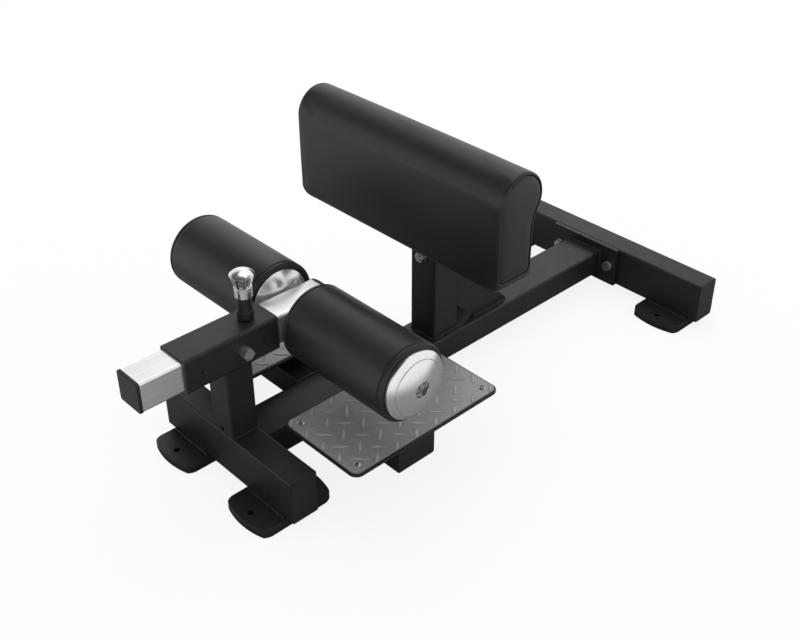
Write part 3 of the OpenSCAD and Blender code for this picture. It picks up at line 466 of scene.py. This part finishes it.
def black_vinyl():
    """Smooth upholstery vinyl: a fine leather grain, and a soft sheen that varies over the pad."""
    f = Finish("black_vinyl", Specular_IOR_Level=0.42, Coat_Weight=0.04, Coat_Roughness=0.32)
    skin = f.add("ShaderNodeTexNoise", {"Vector": f.place, "Scale": 260}).outputs["Color"]
    warped = f.vector_math("MULTIPLY_ADD", skin, (0.0016, 0.0016, 0.0016), f.place)
    pebble = f.cells(620, "SMOOTH_F1", warped)
    fold = f.cells(330, "F1", warped)
    tone = f.noise(7, 3)
    f.colour(f.blend(tone, (0.0105, 0.0105, 0.0110), (0.0165, 0.0165, 0.0170)))
    f.roughness(f.sum(f.span(tone, 0.36, 0.44, *NOISE_SPAN), f.noise(45, 3), 0.05))
    f.bump(f.sum(pebble, fold, 0.6), 0.00022, 0.22)
    return f.material


def plywood():
    """Birch plywood with its plies along the edge."""
    f = Finish("plywood", Specular_IOR_Level=0.3)
    grain = f.noise(1, 5, 0.6, f.stretched((9, 120, 120)))
    plies = f.add("ShaderNodeTexWave", {"Vector": f.place, "Scale": 110, "Distortion": 0.6},
                  wave_type="BANDS", bands_direction="Y").outputs["Fac"]
    wood = f.blend(grain, (0.46, 0.31, 0.17), (0.62, 0.46, 0.28))
    f.colour(f.blend(f.span(plies, 0, 0.5), wood, (0.36, 0.23, 0.12)))
    f.roughness(f.span(grain, 0.55, 0.75))
    f.bump(grain, 0.0002, 0.3)
    return f.material


def liner_nylon():
    """Black nylon of the slide liners, polished by sliding."""
    f = Finish("liner_nylon", Specular_IOR_Level=0.5)
    rub = f.noise(1, 3, 0.6, f.stretched((200, 12, 200)))
    f.colour(f.blend(rub, (0.012, 0.012, 0.013), (0.022, 0.022, 0.023)))
    f.roughness(f.span(rub, 0.30, 0.48, *NOISE_SPAN))
    f.bump(f.noise(800, 2), 0.0001, 0.15, f.soft_edges(0.0005))
    return f.material


def make_finishes():
    """One material for each of the record's slots."""
    return {
        "frame_coat": powder_coat(), "cap_plastic": moulded_plastic(), "sole_rubber": sole_rubber(),
        "slide_chrome": slide_chrome(), "pin_chrome": pin_chrome(), "pin_steel": pin_steel(),
        "spun_alloy": spun_alloy(), "tread_alloy": tread_metal(), "zinc": zinc_plate(),
        "vinyl": black_vinyl(), "board": plywood(), "liner": liner_nylon(),
    }


def dress_nodes(finishes):
    """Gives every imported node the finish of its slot."""
    for part in frame["record"]["subparts"]:
        mesh = frame["nodes"][part["node"]].data
        mesh.materials.clear()
        mesh.materials.append(finishes[part["material_slot"]])


# The mesh kit

MERGE_WITHIN = 1e-6


def mesh_object(name, points, faces, material):
    """A smooth closed piece, with its doubled points merged and every face turned outwards."""
    mesh = bpy.data.meshes.new(name)
    mesh.from_pydata([tuple(p) for p in points], [], faces)
    mesh.materials.append(material)
    made = new_object(name, mesh)
    work = bmesh.new()
    work.from_mesh(mesh)
    bmesh.ops.remove_doubles(work, verts=work.verts, dist=MERGE_WITHIN)
    bmesh.ops.recalc_face_normals(work, faces=work.faces)
    work.to_mesh(mesh)
    work.free()
    mesh.shade_smooth()
    return made


def add_piece(made, body):
    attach(made, body)


def freeze(made):
    """Turns what the modifiers show into the piece's own plain mesh."""
    graph = bpy.context.evaluated_depsgraph_get()
    graph.update()
    plain = bpy.data.meshes.new_from_object(made.evaluated_get(graph))
    made.modifiers.clear()
    old, made.data = made.data, plain
    plain.name = made.name
    bpy.data.meshes.remove(old)


def subdivide(made):
    smooth = made.modifiers.new("smooth", "SUBSURF")
    smooth.levels = smooth.render_levels = 1
    freeze(made)
    made.data.shade_smooth()


def resample(points, count):
    """count + 1 points at even distances along an open line."""
    points = np.array(points, float)
    steps = np.linalg.norm(np.diff(points, axis=0), axis=1)
    run = np.concatenate([[0], np.cumsum(steps)])
    at = np.linspace(0, run[-1], count + 1)
    return np.stack([np.interp(at, run, points[:, k]) for k in range(points.shape[1])], axis=1)


def arc(y, z, radius, angles):
    return [(y + radius * math.cos(a), z + radius * math.sin(a)) for a in angles]


def ring_bands(pairs, count):
    """Faces between the two rings of each pair, where every ring has count points."""
    faces = []
    for near, far in pairs:
        for j in range(count):
            k = (j + 1) % count
            faces.append((near * count + j, near * count + k, far * count + k, far * count + j))
    return faces


# The cloth

CLOTH_FRAMES = 20
CLOTH_SETTINGS = {
    "quality": 5, "mass": 0.4, "tension_stiffness": 25, "compression_stiffness": 25,
    "shear_stiffness": 12, "bending_stiffness": 12, "use_pressure": True, "uniform_pressure_force": 4.0,
    "vertex_group_mass": "held",
}
# A point that moved less than this has stayed where it was.
STILL = 1e-9


def swell(made, held):
    """Runs the cloth on the cover, and leaves the swollen cover as its plain mesh."""
    group = made.vertex_groups.new(name="held")
    for index, weight in enumerate(held):
        if weight > 0:
            group.add([index], weight, "REPLACE")
    cloth = made.modifiers.new("cover", "CLOTH")
    for name, value in CLOTH_SETTINGS.items():
        setattr(cloth.settings, name, value)
    cloth.settings.effector_weights.gravity = 0
    cloth.collision_settings.use_collision = False
    cloth.point_cache.frame_start, cloth.point_cache.frame_end = 1, CLOTH_FRAMES
    for number in range(1, CLOTH_FRAMES + 1):
        bpy.context.scene.frame_set(number)
    freeze(made)
    bpy.context.scene.frame_set(1)
    made.vertex_groups.clear()


def inflate(made, held, most):
    """Lets the cover swell like stretched cloth. held is 1 where it is sewn or stapled down, and no point
    moves further than most."""
    start = np.array([v.co for v in made.data.vertices])
    swell(made, held)
    shift = np.array([v.co for v in made.data.vertices]) - start
    size = np.linalg.norm(shift, axis=1, keepdims=True)
    eased = most * np.tanh(size / most)
    shift = np.where(size > STILL, shift / np.maximum(size, STILL) * eased, 0)
    made.data.vertices.foreach_set("co", (start + shift).ravel())
    made.data.update()


# The calf pad

PAD_LOW, PAD_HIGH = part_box("calf_pad")
PAD_HALF = (PAD_HIGH.x - PAD_LOW.x) / 2
PAD_H = PAD_HIGH.z - PAD_LOW.z
PAD_T = 0.077
# The roll along the pad's top stands this far out behind its flat back.
PAD_ROLL_OUT = 0.016
PAD_BACK = PAD_HIGH.y - PAD_ROLL_OUT
PAD_ROLL_R = 0.0465
PAD_NECK_R = 0.060
PAD_LOW_R = 0.0105
PAD_LEAST_R = 0.002
PAD_HEEL_R = 0.006
PAD_CORNER_R = 0.019
PAD_CROWN = 0.0025
# The larger, the more the crown is drawn together in the middle of the face: up the face, and along it.
CROWN_UP, CROWN_ALONG = 0.8, 0.5
PAD_HALF_STEPS = 58
PAD_STEP = 0.0075
# The cover is made this much too small all round, and then swells by no more than the second.
PAD_SHRINK = 0.0007
PAD_SWELL = 0.0010
# The cover is stapled to the flat back up to this height, and as deep as this.
STAPLED_H, STAPLED_DEPTH = 0.10, 0.0006


def pad_side_lines(inset, low, crown):
    """The pad's outline from the side as two lines from its top to its underside: over the back, and down
    the front. inset pulls it in all round, low lifts the underside, and crown swells the front."""
    r = PAD_ROLL_R - inset
    neck = PAD_NECK_R + inset
    back, front = PAD_BACK - inset, PAD_BACK - PAD_T + inset
    roll_y = PAD_BACK - PAD_T + PAD_ROLL_R
    roll_z = PAD_LOW.z + PAD_H - PAD_ROLL_R
    turn = math.acos((back + neck - roll_y) / (r + neck))
    neck_z = roll_z - (r + neck) * math.sin(turn)
    bottom = PAD_LOW.z + low
    heel = min(PAD_HEEL_R, (back - front) / 3)
    toe = max(PAD_LOW_R - inset / 2, PAD_LEAST_R)
    middle = ((back + front) / 2, bottom)

    # How many points each arc has matters little, because both lines are resampled.
    behind = arc(roll_y, roll_z, r, np.linspace(math.pi / 2, -turn, 60))
    behind += arc(back + neck, neck_z, neck, np.linspace(math.pi - turn, math.pi, 24)[1:])
    behind.append((back, bottom + heel))
    behind += arc(back - heel, bottom + heel, heel, np.linspace(0, -math.pi / 2, 7)[1:])
    behind.append(middle)

    before = arc(roll_y, roll_z, r, math.pi - np.linspace(math.pi / 2, 0, 44))
    straight = roll_z - bottom - toe
    before += [(front - crown * math.sin(math.pi * u) ** CROWN_UP, roll_z - straight * u)
               for u in np.linspace(0, 1, 26)[1:-1]]
    before += arc(front + toe, bottom + toe, toe, np.linspace(math.pi, 3 * math.pi / 2, 12))
    before.append(middle)
    return resample(behind, PAD_HALF_STEPS), resample(before, PAD_HALF_STEPS)


def pad_ring(x, inset, low, crown):
    """One closed ring of points: top, over the back, underside, and up the front."""
    behind, before = pad_side_lines(inset, low, crown)
    loop = np.concatenate([behind, before[-2:0:-1]])
    return [(x, y, z) for y, z in loop]


def corner_rise(distance):
    """How far the underside has risen where the pad's lower corner is rounded."""
    d = min(max(distance, 0), PAD_CORNER_R)
    return PAD_CORNER_R - math.sqrt(PAD_CORNER_R ** 2 - (PAD_CORNER_R - d) ** 2)


# In millimetres: distance from the pad's end, and how far the wrap is pulled in there, towards the seam.
WRAP_END = [(0.0, 4.2), (0.3, 2.8), (0.9, 1.7), (1.8, 0.85), (3.1, 0.3), (5.0, 0), (9, 0), (14, 0), (20, 0),
            (26, 0), (34, 0)]
# In millimetres: distance in from the outline over the end panel, and how far the panel stands out there.
PANEL_RISE = [(4.9, -1.9), (5.5, -0.8), (6.6, 0.2), (8.4, 1.2), (10.8, 1.9), (14, 2.3), (17.5, 2.5),
              (22, 2.6), (27, 2.6), (31, 2.6), (35, 2.6)]
# The whole panel lies this much deeper than its rises say.
PANEL_SUNK = 0.001
# The seam between wrap and panel: how deep it lies, how far in from the wrap's rim, and how far up.
SEAM_DEPTH, SEAM_IN, SEAM_UP = 0.0024, 0.5, 0.0004


def pad_rings():
    """All the rings of the pad from one end to the other, a little small because it swells, and the number
    of the seam's ring from either end."""
    end = PAD_HALF - PAD_SHRINK
    rim = WRAP_END[0][1]
    panel = [(end + rise * MM - PANEL_SUNK, t * MM, PAD_CORNER_R + (t - rim) * MM) for t, rise in PANEL_RISE]
    seam = (end - SEAM_DEPTH, (rim + SEAM_IN) * MM, PAD_CORNER_R + SEAM_UP)
    wrap = [(end - d * MM, i * MM, corner_rise(d * MM)) for d, i in WRAP_END]
    last = WRAP_END[-1][0] * MM
    count = round(2 * (end - last) / PAD_STEP)
    half = panel[::-1] + [seam] + wrap
    plain = [(x, 0, 0) for x in np.linspace(end - last, -end + last, count + 1)[1:-1]]
    rings = []
    for x, inset, low in half + plain + [(-x, inset, low) for x, inset, low in half[::-1]]:
        crown = PAD_CROWN * math.cos(math.pi / 2 * min(abs(x) / end, 1)) ** CROWN_ALONG
        rings.append(pad_ring(x, inset + PAD_SHRINK, low + PAD_SHRINK, crown))
    return rings, len(panel)


def ring_skin(rings):
    """Faces between the rings, and strips over the first and the last."""
    count = len(rings[0])
    faces = ring_bands([(i, i + 1) for i in range(len(rings) - 1)], count)
    half = count // 2
    for base in (0, (len(rings) - 1) * count):
        faces.append((base, base + 1, base + count - 1))
        for j in range(1, half - 1):
            faces.append((base + j, base + j + 1, base + count - j - 1, base + count - j))
        faces.append((base + half - 1, base + half, base + half + 1))
    return faces


def sew_calf_pad(material):
    rings, seam = pad_rings()
    count = len(rings[0])
    points = [p for ring in rings for p in ring]
    pad = mesh_object("calf_cushion", points, ring_skin(rings), material)
    seams = (seam, len(rings) - 1 - seam)
    flat_back = PAD_BACK - PAD_SHRINK - STAPLED_DEPTH
    held = []
    for index, (_, y, z) in enumerate(points):
        stapled = y > flat_back and z < PAD_LOW.z + STAPLED_H
        held.append(1.0 if stapled or index // count in seams else 0.0)
    inflate(pad, held, PAD_SWELL)
    subdivide(pad)
    add_piece(pad, "frame")
    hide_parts("calf_pad")


# The rollers

ROLLER_R = 0.063
ROLLER_RINGS = 30
ROLLER_ROUND = 96
ROLLER_SWELL = 0.0008
# In millimetres: distance from the end, and radius, of the roller's cover, from the bore out over its end
# ring to the end seam.
ROLLER_END = [(0.0, 25.3), (0.0, 36), (0.0, 46), (0.0, 52.5), (0.05, 55.3), (-0.7, 56.1), (-1.2, 57.6),
              (-1.3, 59.3), (-0.8, 61.0), (0.2, 62.2), (1.5, 62.8), (3.1, 62.9), (4.5, 62.4), (5.3, 61.4),
              (5.8, 60.1), (6.3, 61.4), (7.0, 62.6), (8.4, 63.0)]
# Place and depth of the lengthwise seam's groove, in millimetres round the roller from its lowest line.
ROLLER_SEAM = [(-2.2, 0.0), (-0.9, 0.25), (0.0, 1.1), (0.9, 0.25), (2.2, 0.0)]
# The lengthwise seam shows only on what is less than this far inside the roller's radius.
SEAM_REACH = 0.002


def roller_profile(inner, outer):
    """Distance along the axle and radius, from the inner end of the bore round the cover and back."""
    near = [(inner + d * MM, r * MM) for d, r in ROLLER_END]
    far = [(outer - d * MM, r * MM) for d, r in ROLLER_END[::-1]]
    barrel = [(x, ROLLER_R) for x in np.linspace(near[-1][0], far[0][0], ROLLER_RINGS + 1)[1:-1]]
    return near + barrel + far


def roller_spokes():
    """The angles of the points round a roller, with the depth of the lengthwise seam at each."""
    seam = [(-math.pi / 2 + at * MM / ROLLER_R, deep * MM) for at, deep in ROLLER_SEAM]
    first, last = seam[0][0], seam[-1][0]
    plain = np.linspace(last, first + 2 * math.pi, ROLLER_ROUND - len(seam) + 2)[1:-1]
    return seam + [(a, 0.0) for a in plain]


def sew_roller(side, material):
    node = f"roller_cover_{side}"
    low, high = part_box(node)
    profile = roller_profile(*sorted((abs(low.x), abs(high.x))))
    rings, count = len(profile), ROLLER_ROUND
    spokes = roller_spokes()
    points = []
    for x, r in profile:
        for a, sunk in spokes:
            inward = r - sunk if r > ROLLER_R - SEAM_REACH else r
            points.append((SIDES[side] * x, AXLE_Y + inward * math.cos(a), AXLE_Z + inward * math.sin(a)))
    faces = ring_bands([(i, (i + 1) % rings) for i in range(rings)], count)
    roller = mesh_object(f"roller_pad_{side}", points, faces, material)
    free = range(len(ROLLER_END) - 1, rings - len(ROLLER_END) + 1)
    held = [0.0 if index // count in free else 1.0 for index in range(len(points))]
    inflate(roller, held, ROLLER_SWELL)
    subdivide(roller)
    add_piece(roller, f"roller_{side}")
    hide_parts(node)


# The tread pattern

class Growth(Nodes):
    """A geometry node tree under way, with named inputs."""

    def __init__(self, name, sockets, seeded=False):
        super().__init__(bpy.data.node_groups.new(name, "GeometryNodeTree"))
        new_socket = self.tree.interface.new_socket
        new_socket(name="Geometry", in_out="OUTPUT", socket_type="NodeSocketGeometry")
        if seeded:
            new_socket(name="Geometry", in_out="INPUT", socket_type="NodeSocketGeometry")
        self.ids = {}
        for label, kind, value in sockets:
            made = new_socket(name=label, in_out="INPUT", socket_type=kind)
            if value is not None:
                made.default_value = value
            self.ids[label] = made.identifier
        self.given = self.add("NodeGroupInput").outputs
        self.result = self.add("NodeGroupOutput")

    def finish(self, geometry):
        """Ends the tree in real, smooth geometry with the material that the tree is given."""
        real = self.add("GeometryNodeRealizeInstances", {0: geometry}).outputs[0]
        smooth = self.add("GeometryNodeSetShadeSmooth", {0: real, "Shade Smooth": True}).outputs[0]
        coated = self.add("GeometryNodeSetMaterial", {0: smooth, "Material": self.given["Material"]})
        self.join(coated.outputs[0], self.result.inputs[0])

    def grow(self, seed_object, values):
        """Runs the tree on seed_object and leaves its result as a plain mesh."""
        modifier = seed_object.modifiers.new("growth", "NODES")
        modifier.node_group = self.tree
        for label, value in values.items():
            modifier[self.ids[label]] = value
        freeze(seed_object)


# Points along and across a lens.
LENS_STEPS = (15, 7)
# How steeply the dome of a lens falls off along it and across it.
DOME_ALONG, DOME_ACROSS = 0.7, 2.2
LENS_WELD = 1e-5
# Lenses across and along each of the two lattices, which cover more than the sheet.
LATTICE = (7, 10)
# Each lattice: its shift in pitches, and the turn of its lenses in half turns.
LATTICES = ((0.0, 0.75), (0.5, 0.25))


def lens_half(grow, rise):
    """One skin of a lens, pointed at both ends, which bulges by rise."""
    grid = {"Size X": 1.0, "Size Y": 1.0, "Vertices X": LENS_STEPS[0], "Vertices Y": LENS_STEPS[1]}
    sheet = grow.add("GeometryNodeMeshGrid", grid).outputs["Mesh"]
    place = grow.split(grow.add("GeometryNodeInputPosition").outputs[0])
    # Both run from -1 to 1: u along the lens, and v across it.
    u = grow.math("MULTIPLY", place["X"], 2.0)
    v = grow.math("MULTIPLY", place["Y"], 2.0)
    taper = grow.math("SUBTRACT", 1.0, grow.math("MULTIPLY", u, u))
    across = grow.math("SUBTRACT", 1.0, grow.math("POWER", grow.math("ABSOLUTE", v), DOME_ACROSS))
    dome = grow.math("MULTIPLY", grow.math("POWER", taper, DOME_ALONG), across)
    moved = grow.add("ShaderNodeCombineXYZ", {
        "X": grow.math("MULTIPLY", place["X"], grow.given["Lens length"]),
        "Y": grow.math("MULTIPLY", grow.math("MULTIPLY", place["Y"], taper), grow.given["Lens width"]),
        "Z": grow.math("MULTIPLY", dome, rise)}).outputs[0]
    return grow.add("GeometryNodeSetPosition", {0: sheet, "Position": moved}).outputs[0]


def lens_mesh(grow):
    """One raised lens: domed on top, and closed by a shallow root in the sheet."""
    top = lens_half(grow, grow.given["Lens height"])
    root = grow.add("GeometryNodeFlipFaces", {0: lens_half(grow, grow.given["Lens root"])}).outputs[0]
    both = grow.add("GeometryNodeJoinGeometry")
    for half in (top, root):
        grow.join(half, both.inputs[0])
    return grow.add("GeometryNodeMergeByDistance", {0: both.outputs[0], "Distance": LENS_WELD}).outputs[0]


def tread_growth():
    """Two lattices of lenses, turned and shifted against each other."""
    grow = Growth("tread_pattern", [
        ("Lens length", "NodeSocketFloat", 0.032), ("Lens width", "NodeSocketFloat", 0.0062),
        ("Lens height", "NodeSocketFloat", 0.0017), ("Lens root", "NodeSocketFloat", -0.0006),
        ("Pitch across", "NodeSocketFloat", 0.0382), ("Pitch along", "NodeSocketFloat", 0.041),
        ("First lens", "NodeSocketVector", None), ("Material", "NodeSocketMaterial", None)])
    given = grow.given
    lens = lens_mesh(grow)
    rows = grow.add("GeometryNodeJoinGeometry")
    across, along = LATTICE
    for shift, turn in LATTICES:
        # A mesh grid lies round its own middle. This moves its second row and column to the first lens, plus
        # the shift, so that the row and column before them cover the sheet's low edges.
        lattice = grow.add("GeometryNodeMeshGrid", {
            "Size X": grow.math("MULTIPLY", given["Pitch across"], across - 1),
            "Size Y": grow.math("MULTIPLY", given["Pitch along"], along - 1),
            "Vertices X": across, "Vertices Y": along}).outputs["Mesh"]
        offset = grow.add("ShaderNodeCombineXYZ", {
            "X": grow.math("MULTIPLY", given["Pitch across"], (across - 1) / 2 - 1 + shift),
            "Y": grow.math("MULTIPLY", given["Pitch along"], (along - 1) / 2 - 1 + shift)}).outputs[0]
        place = grow.vector_math("ADD", offset, given["First lens"])
        moved = grow.add("GeometryNodeTransform", {0: lattice, "Translation": place}).outputs[0]
        placed = grow.add("GeometryNodeInstanceOnPoints", {
            "Points": moved, "Instance": lens, "Rotation": (0, 0, math.pi * turn)})
        grow.join(placed.outputs[0], rows.inputs[0])
    grow.finish(rows.outputs[0])
    return grow


TREAD_CORNER = 0.0115
# The pattern stops this far inside the sheet's edge.
TREAD_RIM = 0.0007
ON_PLANE = 1e-7
# Where the first lens lies from the sheet's low corner, and how deep it is set into the sheet.
FIRST_LENS = {"left": (0.0190, 0.0050), "right": (0.0073, 0.0050)}
LENS_SET_IN = 0.0001
# The screws lie this far in from the sheet's sides, and no lens comes closer than this to their middles.
SCREW_INSET = 0.0165
SCREW_CLEAR = 0.0085
# A cut lens that is narrower than this across the sheet, or has fewer points, is a mere chip.
CHIP_LENGTH, CHIP_POINTS = 0.0025, 12


def sheet_cuts(low, high):
    """The planes that bound the pattern, each as the way out and a point on the sheet's edge: four for the
    sides, and three round each corner."""
    cuts = [(Vector((s, 0, 0)), Vector((high.x if s > 0 else low.x, 0, 0))) for s in (-1, 1)]
    cuts += [(Vector((0, s, 0)), Vector((0, high.y if s > 0 else low.y, 0))) for s in (-1, 1)]
    for sx in (-1, 1):
        for sy in (-1, 1):
            centre = Vector(((high.x if sx > 0 else low.x) - sx * TREAD_CORNER,
                             (high.y if sy > 0 else low.y) - sy * TREAD_CORNER, 0))
            for part in (0.25, 0.5, 0.75):
                a = math.pi / 2 * part
                out = Vector((sx * math.cos(a), sy * math.sin(a), 0))
                cuts.append((out, centre + out * TREAD_CORNER))
    return cuts


def trim_to_sheet(made, low, high, holes):
    """Cuts the pattern off at the sheet's edges and corners, and leaves the screws clear."""
    work = bmesh.new()
    work.from_mesh(made.data)
    for out, at in sheet_cuts(low, high):
        whole = work.verts[:] + work.edges[:] + work.faces[:]
        cut = bmesh.ops.bisect_plane(work, geom=whole, dist=ON_PLANE, plane_co=at - out * TREAD_RIM,
                                     plane_no=out, clear_outer=True)
        rim = [e for e in cut["geom_cut"] if isinstance(e, bmesh.types.BMEdge)]
        if rim:
            bmesh.ops.holes_fill(work, edges=rim, sides=0)
    bmesh.ops.delete(work, geom=lenses_to_drop(work, holes), context="VERTS")
    bmesh.ops.recalc_face_normals(work, faces=work.faces)
    work.to_mesh(made.data)
    work.free()


def lenses_to_drop(work, holes):
    """The points of every lens that comes too close to a hole, or of which only a chip is left."""
    seen, drop = set(), []
    for first in work.verts:
        if first in seen:
            continue
        island, queue = [], [first]
        seen.add(first)
        while queue:
            at = queue.pop()
            island.append(at)
            for edge in at.link_edges:
                other = edge.other_vert(at)
                if other not in seen:
                    seen.add(other)
                    queue.append(other)
        close = any((v.co.xy - hole).length < SCREW_CLEAR for v in island for hole in holes)
        span = max(v.co.x for v in island) - min(v.co.x for v in island)
        if close or span < CHIP_LENGTH or len(island) < CHIP_POINTS:
            drop += island
    return drop


def raise_treads(side, grow, material):
    """The raised pattern of one foot plate."""
    low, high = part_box(f"tread_plate_{side}")
    name = f"tread_pattern_{side}"
    made = new_object(name, bpy.data.meshes.new(name))
    x, y = FIRST_LENS[side]
    first = (low.x + x, low.y + y, high.z - LENS_SET_IN)
    grow.grow(made, {"First lens": first, "Material": material})
    holes = [Vector((x, y)) for x in (low.x + SCREW_INSET, high.x - SCREW_INSET)
             for y in (low.y + SCREW_INSET, high.y - SCREW_INSET)]
    trim_to_sheet(made, low, high, holes)
    add_piece(made, "frame")


# The welds

WELD_CORNER_STEPS = 4
WELD_CORNER = 0.004
# A straight weld stops this far before the end of its joint.
WELD_END = 0.006
# The gusset's inner corner is cut off by this much, so it isn't welded there.
GUSSET_CUT = 0.048
WELD_SEED = 4
# Faces round a weld's scale and from pole to pole of it.
WELD_SCALE_FACES = (8, 6)


def loop_round(low, high, across, level):
    """A closed loop of points round a tube's box, with rounded corners, in the plane where the axis across
    has the value level."""
    first, second = [axis for axis in (X, Y, Z) if axis != across]
    points = []
    for turn, (a, b) in enumerate(((1, 1), (0, 1), (0, 0), (1, 0))):
        middle = [(high if side else low)[k] + (-WELD_CORNER if side else WELD_CORNER)
                  for side, k in ((a, first), (b, second))]
        for step in range(WELD_CORNER_STEPS + 1):
            angle = math.pi / 2 * (turn + step / WELD_CORNER_STEPS)
            point = Vector((0, 0, 0))
            point[across] = level
            point[first] = middle[0] + WELD_CORNER * math.cos(angle)
            point[second] = middle[1] + WELD_CORNER * math.sin(angle)
            points.append(point)
    return points + points[:1]


def weld_paths():
    """The joints of the frame, as runs of points."""
    base_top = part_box("front_base_tube")[1]
    post, post_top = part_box("front_post")
    beam, beam_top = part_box("centre_beam")
    pad_post, pad_post_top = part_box("pad_post")
    runs = [loop_round(post, post_top, Z, post_top.z),
            loop_round(beam, beam_top, Y, base_top.y),
            loop_round(beam, beam_top, Y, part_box("rear_flange")[0].y),
            loop_round(pad_post, pad_post_top, Z, beam_top.z)]
    for x in (post.x, post_top.x):
        runs.append([Vector((x, y, base_top.z)) for y in (post.y + WELD_END, post_top.y - WELD_END)])
    for side, sign in SIDES.items():
        runs.append(loop_round(*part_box(f"cross_tube_{side}"), X, sign * beam_top.x))
        low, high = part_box(f"post_gusset_{side}")
        for x in (low.x, high.x):
            runs.append([Vector((x, high.y, low.z)), Vector((x, low.y + GUSSET_CUT, low.z))])
            runs.append([Vector((x, low.y, low.z + GUSSET_CUT)), Vector((x, low.y, high.z))])
        for end in ("front", "rear"):
            low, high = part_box(f"{end}_foot_{side}")
            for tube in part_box(f"{end}_base_tube"):
                runs.append([Vector((x, tube.y, high.z)) for x in (low.x + WELD_END, high.x - WELD_END)])
    return runs


def weld_growth():
    """Small overlapping scales, laid one after another along each run."""
    grow = Growth("weld_bead", [
        ("Bead radius", "NodeSocketFloat", 0.0021), ("Bead pitch", "NodeSocketFloat", 0.0021),
        ("Unevenness", "NodeSocketFloat", 0.12), ("Material", "NodeSocketMaterial", None)], seeded=True)
    given = grow.given
    curve = grow.add("GeometryNodeMeshToCurve", {0: given["Geometry"]}).outputs[0]
    dotted = grow.add("GeometryNodeCurveToPoints", {0: curve, "Length": given["Bead pitch"]},
                      mode="LENGTH").outputs
    round_it, up_it = WELD_SCALE_FACES
    scale = grow.add("GeometryNodeMeshUVSphere", {
        "Segments": round_it, "Rings": up_it, "Radius": given["Bead radius"]}).outputs[0]
    uneven = grow.add("FunctionNodeRandomValue", {
        "Min": grow.math("SUBTRACT", 1.0, given["Unevenness"]),
        "Max": grow.math("ADD", 1.0, given["Unevenness"]), "Seed": WELD_SEED}, data_type="FLOAT")
    placed = grow.add("GeometryNodeInstanceOnPoints", {
        "Points": dotted["Points"], "Instance": scale, "Rotation": dotted["Rotation"],
        "Scale": uneven.outputs["Value"]})
    grow.finish(placed.outputs[0])
    return grow


def lay_welds(material):
    points, edges = [], []
    for run in weld_paths():
        edges += [(k, k + 1) for k in range(len(points), len(points) + len(run) - 1)]
        points += run
    mesh = bpy.data.meshes.new("weld_beads")
    mesh.from_pydata([tuple(p) for p in points], edges, [])
    made = new_object("weld_beads", mesh)
    weld_growth().grow(made, {"Material": material})
    add_piece(made, "frame")


# The bench

def main():
    set_the_stage()
    finishes = make_finishes()
    dress_nodes(finishes)
    sew_calf_pad(finishes["vinyl"])
    for side in SIDES:
        sew_roller(side, finishes["vinyl"])
    treads = tread_growth()
    for side in SIDES:
        raise_treads(side, treads, finishes["tread_alloy"])
    lay_welds(finishes["frame_coat"])


main()
